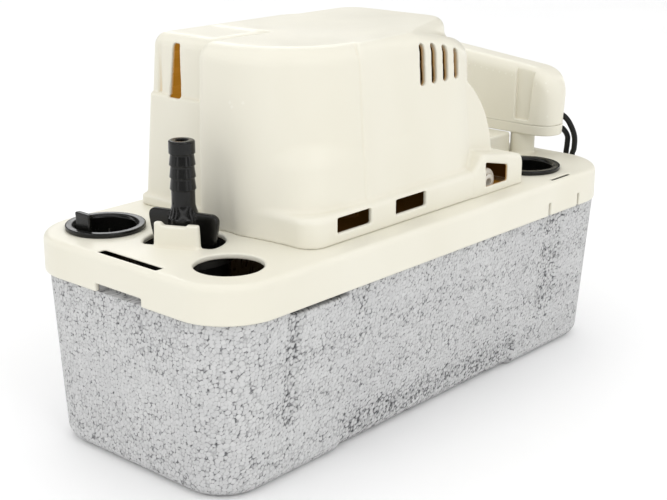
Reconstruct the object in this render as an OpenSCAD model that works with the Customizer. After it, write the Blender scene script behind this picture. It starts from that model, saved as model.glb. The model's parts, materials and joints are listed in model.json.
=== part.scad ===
// Tank-type condensate removal pump.
// Origin: centre of the tank's bottom face. +X runs along the deck away from the outlet, +Z up. Millimetres.

/* [Deck and tank] */
// Length of the deck along X
deck_length = 279.4; // [276:0.1:284]
// Width of the deck along Y
deck_width = 127; // [125:0.5:130]
// Radius of the deck's vertical corners
deck_corner = 26; // [22:0.5:28]
// Height of the deck's top face above the ground
deck_top = 92.7; // [92:0.1:93.5]
// Height of the rim that laps over the tank
rim_height = 16.3; // [15:0.1:17]
// Length of the tank's foot along X
foot_length = 272; // [267:0.5:273]
// Width of the tank's foot along Y
foot_width = 111; // [108:0.5:112]
// Thickness of the tank's bead-foam wall
foam_wall = 8; // [7:0.5:9]
// Diameter of the drain inlets
inlet_d = 28.6; // [27:0.1:29]

/* [Motor cover] */
// Height of the cover's roof above the ground
roof_top = 171.5; // [170:0.5:174]
// Wall thickness of the moulded covers
cover_wall = 2.5; // [2:0.1:2.8]
// Width of each upper vent
vent_width = 3.9; // [3:0.1:4.5]

/* [Outlet] */
// X of the check valve's axis
valve_x = -102.5; // [-103.5:0.5:-101]
// Largest diameter of the hose barb
barb_d = 10.8; // [10:0.1:11.4]
// Height of the barb's tip above the ground
barb_top = 135.4; // [134.5:0.1:137]

/* [Motor and pump] */
// X of the motor shaft
motor_x = -30; // [-31:0.5:-30]
// Y of the motor shaft
motor_y = 2; // [1:0.5:3]
// Thickness of the stator stack
stack_height = 22; // [18:1:22]
// Diameter of the motor shaft
shaft_d = 6; // [5:0.5:6.5]
// Diameter of the impeller
impeller_d = 38; // [34:1:42]
// Number of impeller vanes
vane_count = 6; // [4:1:8]

/* [Level control] */
// Length of the float along X
float_length = 33; // [28:1:34]

/* [Hidden] */
$fn = 64;

CREAM = [0.93, 0.91, 0.85];
FOAM = [0.72, 0.72, 0.73];
BLACK = [0.08, 0.08, 0.08];
STEEL = [0.62, 0.63, 0.65];
COPPER = [0.78, 0.45, 0.24];
NYLON = [0.9, 0.9, 0.86];

fit = 0.02;      // radial gap where one piece is pressed on another
run = 0.05;      // radial gap where one piece turns or slides in another
eps = 0.1;       // overshoot of a cut, or overlap of a union

// Deck
deck_wall = 2.5;
deck_under = deck_top - deck_wall;
rim_bottom = deck_top - rim_height;
shoulder = 3;
near_inlet = [-112.7, -37.2];
rear_inlet = [-112.5, 38.5];
far_inlet = [96.5, -36];
inlet_r = inlet_d / 2;
post = [124.5, -15];
post_r = 6.35;
post_bore = 3.5;
box_floor = 104;     // underside of the switch box, top of the post
rim_notch_y = -0.9;
rim_notch_width = 28;

// Tank
foot_round = 7;
foot_corner = 21;
tank_top = rim_bottom - 0.3;
tank_length = deck_length - 4;
tank_width = deck_width - 4;
lip_top = deck_top - 6;
lip_gap = 0.6;
lip_wall = 5;
flute_x = [-100.5, 86];
flute_r = 9;

// Outlet
valve = [valve_x, -0.5];
valve_hole_r = 16.8;
guard_turn = 207;    // direction in which the guard block faces
guard_front = 11.4;
guard_back = 8.4;
guard_sides = [-9.4, 10.4];
guard_height = 9.8;
wing_turn = -74;
wing_reach = 15.7;
spigot_r = 7.5;
valve_bore = 2.6;
ball_r = 4;
ball_chamber_r = 5.2;
seat_top = 72;
seat_bore = 2.6;
ball_rest = seat_top + sqrt(ball_r * ball_r - seat_bore * seat_bore) + fit;

// Motor, from the deck up
motor = [motor_x, motor_y];
boss_top = box_floor;
stack_bottom = 112;
stack_top = stack_bottom + stack_height;
bolt_y = 27;
rotor_r = 14.2;
air_gap = 0.4;
shaft_r = shaft_d / 2;
bearing_r = 5.5;
coil_from = 40;      // start of the coil leg, from the shaft
coil_to = 56;
leg_half = 32;       // half width of the stator
leg_inner = 20;      // half width of the stator's window
bobbin_flange = 9;
bobbin_wall = 1.3;

// Ring that guides the mains wires in behind the far window
bushing = [49, -43, 96.1];
bushing_r = 6.7;
bushing_collar_r = 4.1;
bushing_bore = 1.9;

// Inlet plugs
plug_bottom = 84;
plug_floor = plug_bottom + 1.5;
plug_cup_r = inlet_r - 0.15;
plug_bore_r = plug_cup_r - 1.15;
plug_flange_r = inlet_r + 2.9;
plug_low = deck_top + 0.05;
plug_top = deck_top + 2.2;
plug_round = 0.8;
tab_x = [-plug_bore_r + 0.4, -plug_bore_r + 2.6];
tab_half = 4.5;
tab_top = 101.4;

// Motor cover's skirt, which runs along the near side, and the hood at its far end
skirt_x = [-80, 72.3];
skirt_y = [-51.5, -16.5];
skirt_top = 105.5;
skirt_corner = 9;
hood_x = 34;
hood_top = 109;

// Pump end, from the tank floor up
tank_floor = 9;
chamber_bottom = 20;
chamber_top = 32;
chamber_r = 25;
volute_r = 31;
volute_screw_r = 28;
column_r = 15;
column_wall = 3;
nozzle_z = 26;
nozzle_offset = 19;
nozzle_end = 38;
tube_bore = 5.25;
tube_r = 7.2;
tube_bend = 16;
tube_top = 65.9;

// Switch box and float
box_x = 127.5;
box_near_y = -28;    // centre of the rounded near end
box_far_y = 36;      // centre of the rounded far end
box_r = 10;
box_wall = 2;
tray_top = 109.3;
box_slope = 6.3;     // fall of the box's top towards its near end, in degrees
box_top_far = 146.2;
lever_bottom = 111.1;
lever_thick = 2.5;
lever_mid = lever_bottom + lever_thick / 2;
pivot_y = 26;
lever_from_x = 121.2;
lever_to_x = 133.8;
pin_r = 1.5;
switch_bottom = 122.5;
switch_height = 10;
run_button_rest = 119.75;
safety_button_rest = 120.35;
button_y = 2;
switch_x = [121, 128];
switch_width = 6.4;
leads_up = [127.5, 35];   // where the motor's leads rise into the box
rod_r = 1.5;
float_bottom = 38;
float_height = 20;

// ---------- shared shapes ----------

module rounded_rect(length, width, r) {
    square([length - 2 * r, width], center = true);
    square([length, width - 2 * r], center = true);
    for (x = [-1, 1], y = [-1, 1])
        translate([x * (length / 2 - r), y * (width / 2 - r)]) circle(r);
}

module slab(length, width, height, r) {
    linear_extrude(height) rounded_rect(length, width, r);
}

// A thin rounded plate at height z, for hulls
module layer(length, width, r, z) {
    translate([0, 0, z]) slab(length, width, 0.01, r, $fn = 32);
}

module block(low, high) {
    translate(low) cube(high - low);
}

module at(xy, z = 0) {
    translate([xy[0], xy[1], z]) children();
}

module rod(r, z0, z1) {
    translate([0, 0, z0]) cylinder(r = r, h = z1 - z0);
}

module ring(outer, inner, z0, z1) {
    difference() {
        rod(outer, z0, z1);
        rod(inner, z0 - eps, z1 + eps);
    }
}

// Plan of the switch box, grown by d
module box_plan(d) {
    for (y = [box_near_y, box_far_y]) translate([box_x, y]) circle(box_r + d);
    translate([box_x - box_r - d, box_near_y]) square([2 * (box_r + d), box_far_y - box_near_y]);
}

// A quarter bend of a round bar: it arrives along +X at the origin and leaves straight up
module quarter_bend(r, bend_r) {
    translate([0, 0, bend_r]) rotate([-90, 0, 0]) rotate_extrude(angle = 90) translate([bend_r, 0]) circle(r);
}

// ---------- tank, deck and covers ----------

module foam_tank() {
    lip_length = deck_length - 2 * (deck_wall + lip_gap);
    lip_width = deck_width - 2 * (deck_wall + lip_gap);
    lip_corner = deck_corner - deck_wall - lip_gap;
    draft = atan((tank_width - foot_width) / 2 / tank_top);
    color(FOAM) difference() {
        union() {
            hull() {
                for (a = [0 : 30 : 90]) {
                    inset = foot_round * (1 - cos(a));
                    layer(foot_length - 2 * inset, foot_width - 2 * inset, foot_corner - inset,
                          foot_round * (1 - sin(a)));
                }
                layer(tank_length, tank_width, deck_corner - 2, tank_top - 0.01);
            }
            translate([0, 0, tank_top - eps]) slab(lip_length, lip_width, lip_top - tank_top + eps, lip_corner);
        }
        hull() {
            layer(foot_length - 2 * foam_wall, foot_width - 2 * foam_wall, 15, tank_floor);
            layer(lip_length - 2 * lip_wall, lip_width - 2 * lip_wall, lip_corner - lip_wall, lip_top + eps);
        }
        for (side = [-1, 1]) {
            for (x = flute_x)
                translate([x, side * (foot_width / 2 + flute_r - 0.5), 14]) rotate([-side * draft, 0, 0])
                    cylinder(r = flute_r, h = tank_top);
            // between the feet the wall leans in a little more near the floor
            translate([-3, side * (foot_width / 2 - 2.2), 0]) rotate([-side * (draft + 4.2), 0, 0])
                translate([0, side * 10, 20]) cube([128, 20, 60], center = true);
        }
    }
}

module deck_shell() {
    difference() {
        hull() {
            layer(deck_length, deck_width, deck_corner, rim_bottom);
            for (a = [0 : 30 : 90]) {
                inset = shoulder * (1 - cos(a));
                layer(
                    deck_length - 2 * inset, deck_width - 2 * inset, deck_corner - inset,
                    deck_top - 0.01 - shoulder * (1 - sin(a))
                );
            }
        }
        translate([0, 0, rim_bottom - eps]) {
            slab(
                deck_length - 2 * deck_wall, deck_width - 2 * deck_wall, deck_under - rim_bottom + eps,
                deck_corner - deck_wall
            );
        }
    }
}

// The block that stands on the chord of the outlet hole and guards the valve's wings
module guard_block() {
    at(valve) rotate([0, 0, guard_turn]) {
        block([guard_back, guard_sides[0], deck_under], [guard_front, guard_sides[1], deck_top + guard_height]);
    }
}

module outlet_hole() {
    difference() {
        at(valve, deck_under - eps) cylinder(r = valve_hole_r, h = deck_wall + 2 * eps);
        at(valve, deck_under - 2 * eps) rotate([0, 0, guard_turn])
            translate([guard_back, -valve_hole_r, 0]) cube([valve_hole_r, 2 * valve_hole_r, deck_wall + 4 * eps]);
    }
}

module deck() {
    color(CREAM) difference() {
        union() {
            deck_shell();
            guard_block();
            at(post) rod(post_r, deck_under, box_floor);
            for (side = [-1, 1]) at(motor + [0, side * bolt_y]) rod(6, deck_under, boss_top);
        }
        for (inlet = [near_inlet, rear_inlet, far_inlet])
            at(inlet) rod(inlet_r, deck_under - eps, deck_top + eps);
        outlet_hole();
        at(post) rod(post_bore, deck_under - eps, box_floor + eps);
        at(motor) rod(8, deck_under - eps, deck_top + eps);
        for (side = [-1, 1]) at(motor + [0, side * bolt_y]) rod(2 + fit, 94, boss_top + eps);
        for (turn = [60 : 120 : 300])
            at(motor) rotate([0, 0, turn]) translate([20, 0]) rod(1.5 + fit, deck_under - eps, deck_top + eps);
        // long slots beside the rim
        block([-136.8, -21.4, deck_under - eps], [-132.8, 14.4, deck_top + eps]);
        block([84, -60, deck_under - eps], [100.5, -58.4, deck_top + eps]);
        // notches in the rim's ends, and the slits of a snap tab
        for (end = [-1, 1])
            translate([end * deck_length / 2, rim_notch_y, rim_bottom])
                cube([4 * deck_wall, rim_notch_width, 7.4], center = true);
        for (x = [78, 103.5], side = [-1, 1])
            translate([x, side * deck_width / 2, rim_bottom]) cube([1.4, 4 * deck_wall, 13], center = true);
    }
}

// Rounded uprights at [x, y, radius], drawn in by d, that lean in a little and round off below height z
module uprights(corners, d, z, round_off) {
    for (c = corners) translate([c[0], c[1], 0]) {
        rod(c[2] - d, deck_top, deck_top + 0.01, $fn = 32);
        rod(max(c[2] - d - 1.5, 0.5), z - round_off, z - round_off + 0.01, $fn = 32);
        rod(max(c[2] - d - 1.5 - round_off, 0.3), z - 0.01, z, $fn = 32);
    }
}

body_corners = [[-60, -30, 16], [-75, 8, 8], [19, -12, 33], [41, 32, 14], [-60, 32, 14]];
tower_corners = [[-70.5, 50, 5], [-68, 24, 7.5], [4, 44, 8]];

// Outer form of the motor cover with d = 0; the hollow inside it with d = cover_wall
module cover_form(d) {
    floor_z = deck_top + 0.05 - (d > 0 ? eps : 0);
    hull() uprights(body_corners, d, roof_top - d, 5);
    hull() uprights(tower_corners, d, roof_top - 1.5 - d, 4);
    // quarter-round shoulder over the far end
    difference() {
        translate([6, 0, box_floor]) rotate([90, 0, 0])
            translate([0, 0, -46 + d]) cylinder(r = 52 - d, h = 90 - 2 * d, $fn = 96);
        block([-60, -60, floor_z - 80], [80, 60, box_floor]);
        block([-60, -60, floor_z - 80], [0, 60, roof_top]);
    }
    block([0, -44 + d, floor_z], [58 - d, 46 - d, box_floor]);
    // low skirt along the near side
    translate([(skirt_x[0] + skirt_x[1]) / 2, (skirt_y[0] + skirt_y[1]) / 2, floor_z])
        slab(skirt_x[1] - skirt_x[0] - 2 * d, skirt_y[1] - skirt_y[0] - 2 * d,
             skirt_top - d - floor_z, skirt_corner - d);
    block([hood_x, skirt_y[0] + d, floor_z], [skirt_x[1] - d, skirt_y[1] - d, hood_top - d]);
    // low bridge that carries the leads to the switch box
    block([50, -11.3 + d, floor_z], [119.2 - d, 46 - d, box_floor - 0.2 - d]);
    block([100, 26 + d, floor_z], [134 - d, 44 - d, box_floor - 0.2 - d]);
}

module motor_cover() {
    color(CREAM) difference() {
        cover_form(0);
        cover_form(cover_wall);
        // round-ended vents near the roof
        for (i = [0 : 3]) translate([-2.5 + 8.1 * i, -46, 0]) {
            block([-vent_width / 2, -4, 150.7], [vent_width / 2, 12, 167 - 1.6 * i]);
            for (z = [150.7, 167 - 1.6 * i])
                translate([0, 12, z]) rotate([90, 0, 0]) cylinder(r = vent_width / 2, h = 16);
        }
        // tapered vent in the near end
        translate([-80, 31, 145]) rotate([90, 0, 90]) linear_extrude(14)
            polygon([[-4, 0], [2, 0], [1, 24], [-2.2, 24]]);
        // windows in the skirt
        for (x = [-54, -15.5]) block([x - 10.8, -60, 97], [x + 10.8, -48, 103.4]);
        block([40, -60, 96.8], [57.5, -48, hood_top - 2 * cover_wall]);
        at(leads_up) rod(3.5, 98, box_floor + eps);
    }
}

// A round boss that stands on the deck, with a collar and a bore that face -Y
module wire_bushing() {
    color(NYLON) difference() {
        translate(bushing) rotate([90, 0, 0]) {
            ring(bushing_r, bushing_bore, -5, 2.5);
            ring(bushing_collar_r, bushing_bore, 2.4, 4);
        }
        at(bushing, deck_under) cube([30, 30, 2 * (deck_wall + 0.05)], center = true);
    }
}

module switch_tray() {
    color(CREAM) difference() {
        union() {
            difference() {
                translate([0, 0, box_floor]) linear_extrude(tray_top - box_floor) box_plan(0);
                translate([0, 0, box_floor + box_wall]) linear_extrude(tray_top) box_plan(-box_wall);
            }
            for (x = [[lever_from_x - 1.6, lever_from_x - 0.2], [lever_to_x + 0.2, lever_to_x + 1.6]])
                block([x[0], pivot_y - 3.5, box_floor + eps], [x[1], pivot_y + 3.5, lever_mid + 3.5]);
        }
        lead_hole(lower_path);
        at(post) rod(2.5, box_floor - eps, box_floor + box_wall + eps);
        at(leads_up) rod(3.5, box_floor - eps, box_floor + box_wall + eps);
        translate([box_x - box_r, pivot_y, lever_mid]) rotate([0, 90, 0]) cylinder(r = pin_r + fit, h = 2 * box_r);
    }
}

module box_body(d) {
    difference() {
        translate([0, 0, tray_top + 0.05 - (d > 0 ? eps : 0)]) linear_extrude(50) box_plan(-d);
        translate([0, box_far_y + box_r, box_top_far - d]) rotate([box_slope, 0, 0])
            translate([80, -120, 0]) cube([80, 140, 40]);
    }
}

module switch_cover() {
    color(CREAM) difference() {
        box_body(0);
        box_body(box_wall);
        lead_hole(upper_path);
        // slit above the upper lead
        block([box_x + 6, -31.5, 114.3], [box_x + 14, -30.5, 124]);
    }
}

// ---------- inlets ----------

module inlet_plug(xy) {
    color(BLACK) at(xy) {
        rotate_extrude() polygon([
            [0, plug_bottom], [plug_cup_r, plug_bottom], [plug_cup_r, plug_low], [plug_flange_r, plug_low],
            [plug_flange_r, plug_top - plug_round], [plug_flange_r - plug_round, plug_top],
            [plug_bore_r + plug_round, plug_top], [plug_bore_r, plug_top - plug_round],
            [plug_bore_r, plug_floor], [0, plug_floor]
        ]);
        block([tab_x[0], -tab_half, plug_bottom + 1], [tab_x[1], tab_half, tab_top]);
    }
}

module rear_inlet_plug() inlet_plug(rear_inlet);
module far_inlet_plug() inlet_plug(far_inlet);

// ---------- motor ----------

module stator_core() {
    color(STEEL) at(motor) difference() {
        block([-26, -leg_half, stack_bottom], [coil_to, leg_half, stack_top]);
        block([24, -leg_inner - run, stack_bottom - eps], [coil_to + eps, leg_inner + run, stack_top + eps]);
        rod(rotor_r + air_gap, stack_bottom - eps, stack_top + eps);
        for (side = [-1, 1]) translate([0, side * bolt_y]) rod(2 + run, stack_bottom - eps, stack_top + eps);
        for (side = [-1, 1], x = [16.2, 20.2])
            translate([side * x, side * 8, stack_bottom + stack_height / 2])
                cube([2.2, 2.2, stack_height + 1], center = true);
    }
}

module coil_core() {
    color(STEEL) at(motor) block([coil_from, -leg_inner, stack_bottom], [coil_to, leg_inner, stack_top]);
}

// A block around the coil leg that stands d outside it, as long as 2 * half_length
module leg_block(d, half_length) {
    at(motor) block(
        [coil_from - d, -half_length, stack_bottom - d], [coil_to + d, half_length, stack_top + d]
    );
}

module coil_bobbin() {
    color(NYLON) difference() {
        union() {
            leg_block(bobbin_wall, leg_inner - 0.4);
            for (side = [-1, 1]) translate([0, side * (leg_inner - 1.15), 0]) leg_block(bobbin_flange, 0.75);
        }
        leg_block(fit, leg_inner + 1);
    }
}

module coil_winding() {
    color(COPPER) difference() {
        leg_block(bobbin_flange - 1.5, leg_inner - 2);
        leg_block(bobbin_wall + fit, leg_inner);
    }
}

module shading_rings() {
    color(COPPER) at(motor) for (side = [-1, 1]) translate([side * 18.2, side * 8, 0]) {
        for (x = [-2, 2]) block([x - 1, -1, stack_bottom - 1.9], [x + 1, 1, stack_top + 1.9]);
        for (z = [stack_bottom - 1.9, stack_top + 0.1]) block([-3, -1, z], [3, 1, z + 1.8]);
    }
}

module rotor_core() {
    color(STEEL) at(motor) ring(rotor_r, shaft_r + fit, stack_bottom, stack_top);
}

module rotor_end_rings() {
    color([0.8, 0.81, 0.83]) at(motor) {
        ring(13, 8, stack_bottom - 3, stack_bottom - fit);
        ring(13, 8, stack_top + fit, stack_top + 3);
    }
}

module motor_shaft() {
    color(STEEL) at(motor) rod(shaft_r, 20.8, 158);
}

// A bearing bracket: a strap over the rotor with a foot on each bolt and a hub for the bearing
module bracket(foot_z, strap_z, hub_z) {
    color([0.7, 0.71, 0.72]) at(motor) difference() {
        union() {
            for (side = [-1, 1])
                block([-8, min(side * 22, side * 34), foot_z[0]], [8, max(side * 22, side * 34), foot_z[1]]);
            block([-8, -34, strap_z[0]], [8, 34, strap_z[1]]);
            rod(9, hub_z[0], hub_z[1]);
        }
        rod(bearing_r + fit, hub_z[0] - eps, hub_z[1] + eps);
        for (side = [-1, 1]) translate([0, side * bolt_y]) rod(2 + run, foot_z[0] - 20, foot_z[1] + 20);
    }
}

module lower_bracket() bracket([boss_top, stack_bottom], [boss_top, 107], [101, 108]);
module upper_bracket() bracket([stack_top, stack_top + 8], [stack_top + 5, stack_top + 8], [stack_top + 4, 146]);

module upper_bearing() color([0.75, 0.6, 0.35]) at(motor) ring(bearing_r, shaft_r + run, stack_top + 4, 145.5);
module lower_bearing() color([0.75, 0.6, 0.35]) at(motor) ring(bearing_r, shaft_r + run, 101, 107.9);
module thrust_washer() color(NYLON) at(motor) ring(5, shaft_r + run, 108, 108.9);

module motor_bolts() {
    color(STEEL) for (side = [-1, 1]) at(motor + [0, side * bolt_y]) rod(2, 94.2, 147);
}

module motor_nuts() {
    color(STEEL) for (side = [-1, 1]) at(motor + [0, side * bolt_y]) difference() {
        translate([0, 0, stack_top + 8.05]) cylinder(r = 4.04, h = 3.2, $fn = 6);
        rod(2 + fit, stack_top, 150);
    }
}

module cooling_fan() {
    color(NYLON) at(motor) difference() {
        union() {
            rod(6, 147, 157);
            rod(25, 147, 148.5);
            for (i = [0 : 7]) rotate([0, 0, i * 45])
                translate([14.5, 0, 152.5]) rotate([0, 0, 25]) cube([18, 1.4, 9], center = true);
        }
        rod(shaft_r + fit, 146, 158);
    }
}

module thermal_cutout() {
    color(BLACK) at(motor, stack_top + bobbin_flange - 1.45)
        block([coil_from + 1, -5, 0], [coil_to - 1, 5, 3.5]);
}

// The pair leaves the winding, runs under the bridge and rises into the switch box
module motor_leads() {
    start = [motor_x + coil_to + bobbin_flange + 2.5, motor_y - 2];
    reach = leads_up - start;
    run_z = 98;
    bend_r = 5;
    wire_r = 0.9;
    color(BLACK) at(start) rotate([0, 0, atan2(reach[1], reach[0])])
        for (side = [-1.2, 1.2]) translate([0, side, 0]) {
            rod(wire_r, run_z + bend_r, 120);
            translate([bend_r, 0, run_z]) mirror([1, 0, 0]) quarter_bend(wire_r, bend_r);
            translate([bend_r, 0, run_z]) rotate([0, 90, 0]) cylinder(r = wire_r, h = norm(reach) - 2 * bend_r);
            translate([norm(reach) - bend_r, 0, run_z]) quarter_bend(wire_r, bend_r);
            translate([norm(reach), 0]) rod(wire_r, run_z + bend_r, 130);
        }
}

// ---------- pump end ----------

module shaft_slinger() color(BLACK) at(motor) ring(7.5, shaft_r + fit, 94.5, 96.5);

// Frame that looks along the outlet: origin on the valve's axis, +X towards the point
// where the outlet leaves the chamber on a tangent
module outlet_frame() {
    reach = motor - valve;
    turn = atan2(reach[1], reach[0]) - asin(nozzle_offset / norm(reach));
    at(valve) rotate([0, 0, turn]) children();
}

outlet_length = sqrt(pow(norm(motor - valve), 2) - nozzle_offset * nozzle_offset);

module pump_column() {
    color(NYLON) difference() {
        union() {
            at(motor) {
                rod(24, deck_under - 3, deck_under - 0.05);
                rod(column_r, chamber_top, deck_under - 2);
                rod(volute_r, chamber_bottom, chamber_top + 3);
            }
            outlet_frame() translate([outlet_length - nozzle_end, 0, nozzle_z]) rotate([0, 90, 0])
                cylinder(r = tube_bore - run, h = nozzle_end - 10);
        }
        at(motor) {
            rod(column_r - column_wall, chamber_top + 3, deck_under);
            rod(chamber_r, chamber_bottom - eps, chamber_top);
            rod(shaft_r + 0.5, chamber_top - eps, chamber_top + 4);
            for (turn = [45 : 90 : 315]) rotate([0, 0, turn]) block([8, -5, 42], [20, 5, 78]);
            for (turn = [60 : 120 : 300]) rotate([0, 0, turn]) {
                translate([20, 0]) rod(1.5 + fit, deck_under - 4, deck_top);
                translate([volute_screw_r, 0]) rod(1.5 + fit, chamber_bottom - eps, 30);
            }
        }
        outlet_frame() translate([outlet_length - nozzle_end - eps, 0, nozzle_z]) rotate([0, 90, 0])
            cylinder(r = 3.6, h = nozzle_end);
    }
}

module column_screws() {
    color(STEEL) at(motor) for (turn = [60 : 120 : 300]) rotate([0, 0, turn]) translate([20, 0]) {
        rod(1.5, 84, deck_top + 1);
        rod(3, deck_top + 0.05, deck_top + 2.2);
    }
}

module impeller() {
    hub_r = shaft_r + 2.5;
    eye_r = 8;
    color(NYLON) at(motor) difference() {
        union() {
            rod(impeller_d / 2, 29.4, 31.2);
            rod(hub_r, 23, 31.2);
            for (i = [0 : vane_count - 1]) rotate([0, 0, i * 360 / vane_count]) {
                // each vane is an arc swept back from the eye to the rim
                intersection() {
                    translate([impeller_d / 4, -impeller_d / 4, 21.2]) difference() {
                        cylinder(r = impeller_d / 3 + 0.8, h = 9);
                        translate([0, 0, -eps]) cylinder(r = impeller_d / 3 - 0.8, h = 10);
                    }
                    block([0, -2, 21], [impeller_d, impeller_d, 30]);
                    ring(impeller_d / 2 - 0.2, eye_r, 21, 30);
                }
            }
        }
        rod(shaft_r + fit, 20, 32);
    }
}

module impeller_clip() color(STEEL) at(motor) ring(5.2, shaft_r + fit, 21.6, 22.6);

module volute_cover() {
    color(NYLON) at(motor) difference() {
        rod(volute_r, chamber_bottom - 3.6, chamber_bottom - 0.05);
        rod(8, 10, 30);
        for (turn = [60 : 120 : 300]) rotate([0, 0, turn]) translate([volute_screw_r, 0]) rod(1.5 + run, 10, 30);
    }
}

module volute_screws() {
    color(STEEL) at(motor) for (turn = [60 : 120 : 300]) rotate([0, 0, turn]) translate([volute_screw_r, 0]) {
        rod(1.5, chamber_bottom - 5, 28);
        rod(2.8, chamber_bottom - 5.5, chamber_bottom - 3.65);
    }
}

module inlet_strainer() {
    color(NYLON) at(motor) difference() {
        rod(16, tank_floor + 0.4, chamber_bottom - 3.65);
        rod(13.5, tank_floor, chamber_bottom);
        for (i = [0 : 5]) rotate([0, 0, i * 30]) block([-20, -1.5, tank_floor + 2], [20, 1.5, chamber_bottom - 5]);
    }
}

module discharge_tube() {
    color([0.85, 0.86, 0.84]) outlet_frame() difference() {
        union() {
            translate([tube_bend, 0, nozzle_z]) rotate([0, 90, 0])
                cylinder(r = tube_r, h = outlet_length - tube_bend - volute_r + 2);
            translate([tube_bend, 0, nozzle_z + tube_bend]) rotate([90, 0, 0]) rotate([0, 0, 180])
                rotate_extrude(angle = 90) translate([tube_bend, 0]) circle(tube_r);
            rod(tube_r, nozzle_z + tube_bend, tube_top);
        }
        translate([tube_bend - fit, 0, nozzle_z]) rotate([0, 90, 0]) cylinder(r = tube_bore, h = outlet_length);
        translate([tube_bend, 0, nozzle_z + tube_bend]) rotate([90, 0, 0]) rotate([0, 0, 180])
            rotate_extrude(angle = 90) translate([tube_bend, 0]) circle(tube_bore);
        rod(tube_bore, nozzle_z + tube_bend - fit, 71);
    }
}

// Cup under the outlet hole, with the bore that the check valve seats in
module valve_socket() {
    color(BLACK) at(valve) rotate_extrude() polygon([
        [3.8, 58], [tube_bore - run, 58], [tube_bore - run, 66], [10.5, 66], [10.5, 76],
        [19, 76], [19, 86], [21, 86], [21, deck_under - 0.05], [17.2, deck_under - 0.05], [17.2, 79],
        [spigot_r + 0.1, 79], [spigot_r + 0.1, 68], [3.8, 68]
    ]);
}

// ---------- check valve ----------

module valve_wing() {
    thickness = 2.4;
    rotate([0, 0, wing_turn]) rotate([90, 0, 0]) translate([0, 0, -thickness / 2]) linear_extrude(thickness) {
        polygon([[5, 86.5], [11.5, 86.5], [14.6, 95], [wing_reach, 102.4], [12.7, 105.4], [5, 105.2]]);
        translate([12.7, 102.4]) circle(3);
    }
}

module check_valve_body() {
    r = barb_d / 2;
    root = r - 0.5;
    pitch = 5;
    tip_land = barb_top - 5.5;
    color(BLACK) at(valve) difference() {
        union() {
            rotate_extrude() polygon(concat(
                [[0, 69], [spigot_r, 69], [spigot_r, 73.4], [6.3, 73.4], [6.3, 74.8], [spigot_r, 74.8],
                 [spigot_r, 97], [6.6, 98.6], [6.6, 103.6], [root, 108.5]],
                [for (i = [3 : -1 : 1], k = [0, 1]) [k == 0 ? root : r, tip_land - pitch * i]],
                [[root, tip_land], [r, tip_land], [r, barb_top - 1], [r - 1, barb_top], [0, barb_top]]
            ));
            valve_wing();
            mirror([cos(wing_turn), sin(wing_turn), 0]) valve_wing();
        }
        rod(valve_bore, 80, barb_top + eps);
        rod(ball_chamber_r, 68, 86);
    }
}

module valve_o_ring() {
    color(BLACK) at(valve, 74.1) rotate_extrude() translate([6.93, 0]) circle(0.58, $fn = 24);
}

module ball_seat() {
    color(NYLON) at(valve) ring(ball_chamber_r - fit, seat_bore, 69.2, seat_top);
}

module check_ball() {
    color(STEEL) at(valve, ball_rest) sphere(ball_r);
}

// ---------- float and switches ----------

module float_body() {
    color([0.9, 0.9, 0.88]) difference() {
        union() {
            translate([104.5, -15, float_bottom]) slab(float_length, 40, float_height, 8);
            block([112, -18, float_bottom + float_height - eps], [post[0], -12, 65]);
            at(post) rod(2.4, 61.5, 65);
        }
        at(post) rod(rod_r + fit, float_bottom, 70);
    }
}

module float_rod() color(STEEL) at(post) rod(rod_r, 61.5, 117);
module rod_collar() color(NYLON) at(post) ring(3, rod_r + fit, lever_bottom - 3, lever_bottom - 1.05);
module rod_bush() color(NYLON) at(post) ring(post_bore - fit, rod_r + run, deck_under, box_floor - 0.05);

module switch_lever() {
    color(NYLON) difference() {
        union() {
            block([lever_from_x, post[1] - 4, lever_bottom], [lever_to_x, pivot_y, lever_bottom + lever_thick]);
            translate([lever_from_x, pivot_y, lever_mid]) rotate([0, 90, 0])
                cylinder(r = 3.2, h = lever_to_x - lever_from_x);
        }
        translate([lever_from_x - 1, pivot_y, lever_mid]) rotate([0, 90, 0])
            cylinder(r = pin_r + run, h = lever_to_x - lever_from_x + 2);
        // fork around the float rod
        block([post[0] - 2, post[1] - 5, lever_bottom - 1], [post[0] + 2, post[1] + 2.6, lever_bottom + 4]);
    }
}

module lever_pin() {
    color(STEEL) translate([lever_from_x - 1.6, pivot_y, lever_mid]) rotate([0, 90, 0])
        cylinder(r = pin_r, h = lever_to_x - lever_from_x + 3.2);
}

module micro_switch(x) {
    color([0.25, 0.25, 0.27]) difference() {
        block([x, -2, switch_bottom], [x + switch_width, 18, switch_bottom + switch_height]);
        translate([x + switch_width / 2, button_y]) rod(1.2 + run, switch_bottom - eps, switch_bottom + 7);
        for (y = [1, 15]) translate([x - 1, y, switch_bottom + 8.2]) rotate([0, 90, 0])
            cylinder(r = 1.1 + run, h = switch_width + 2);
    }
}

module micro_button(x, z) {
    color([0.7, 0.1, 0.08]) translate([x + switch_width / 2, button_y]) rod(1.2, z, z + 6.4);
}

module run_switch() micro_switch(switch_x[0]);
module safety_switch() micro_switch(switch_x[1]);
module run_button() micro_button(switch_x[0], run_button_rest);
module safety_button() micro_button(switch_x[1], safety_button_rest);

module switch_terminals() {
    color([0.85, 0.7, 0.4]) for (x = switch_x, y = [3, 8, 13]) {
        translate([x + switch_width / 2, y, switch_bottom + switch_height + 2.3])
            cube([0.8, 3, 4.5], center = true);
    }
}

module switch_screws() {
    color(STEEL) for (y = [1, 15]) translate([box_x - box_r + box_wall + 0.1, y, switch_bottom + 8.2])
        rotate([0, 90, 0]) cylinder(r = 1.1, h = 2 * (box_r - box_wall) - 0.2);
}

// Each lead leaves the near end of the switch box, bends over the end of the deck and hangs behind it
// [start, heading, length from the start to the hanging part, bend radius]
upper_path = [[133, -31, 114.3], -37.4, 10.7, 9];
lower_path = [[133, -31, 106.9], -10, 8.6, 5];
lead_r = 1.45;
lead_end = 74;

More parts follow.
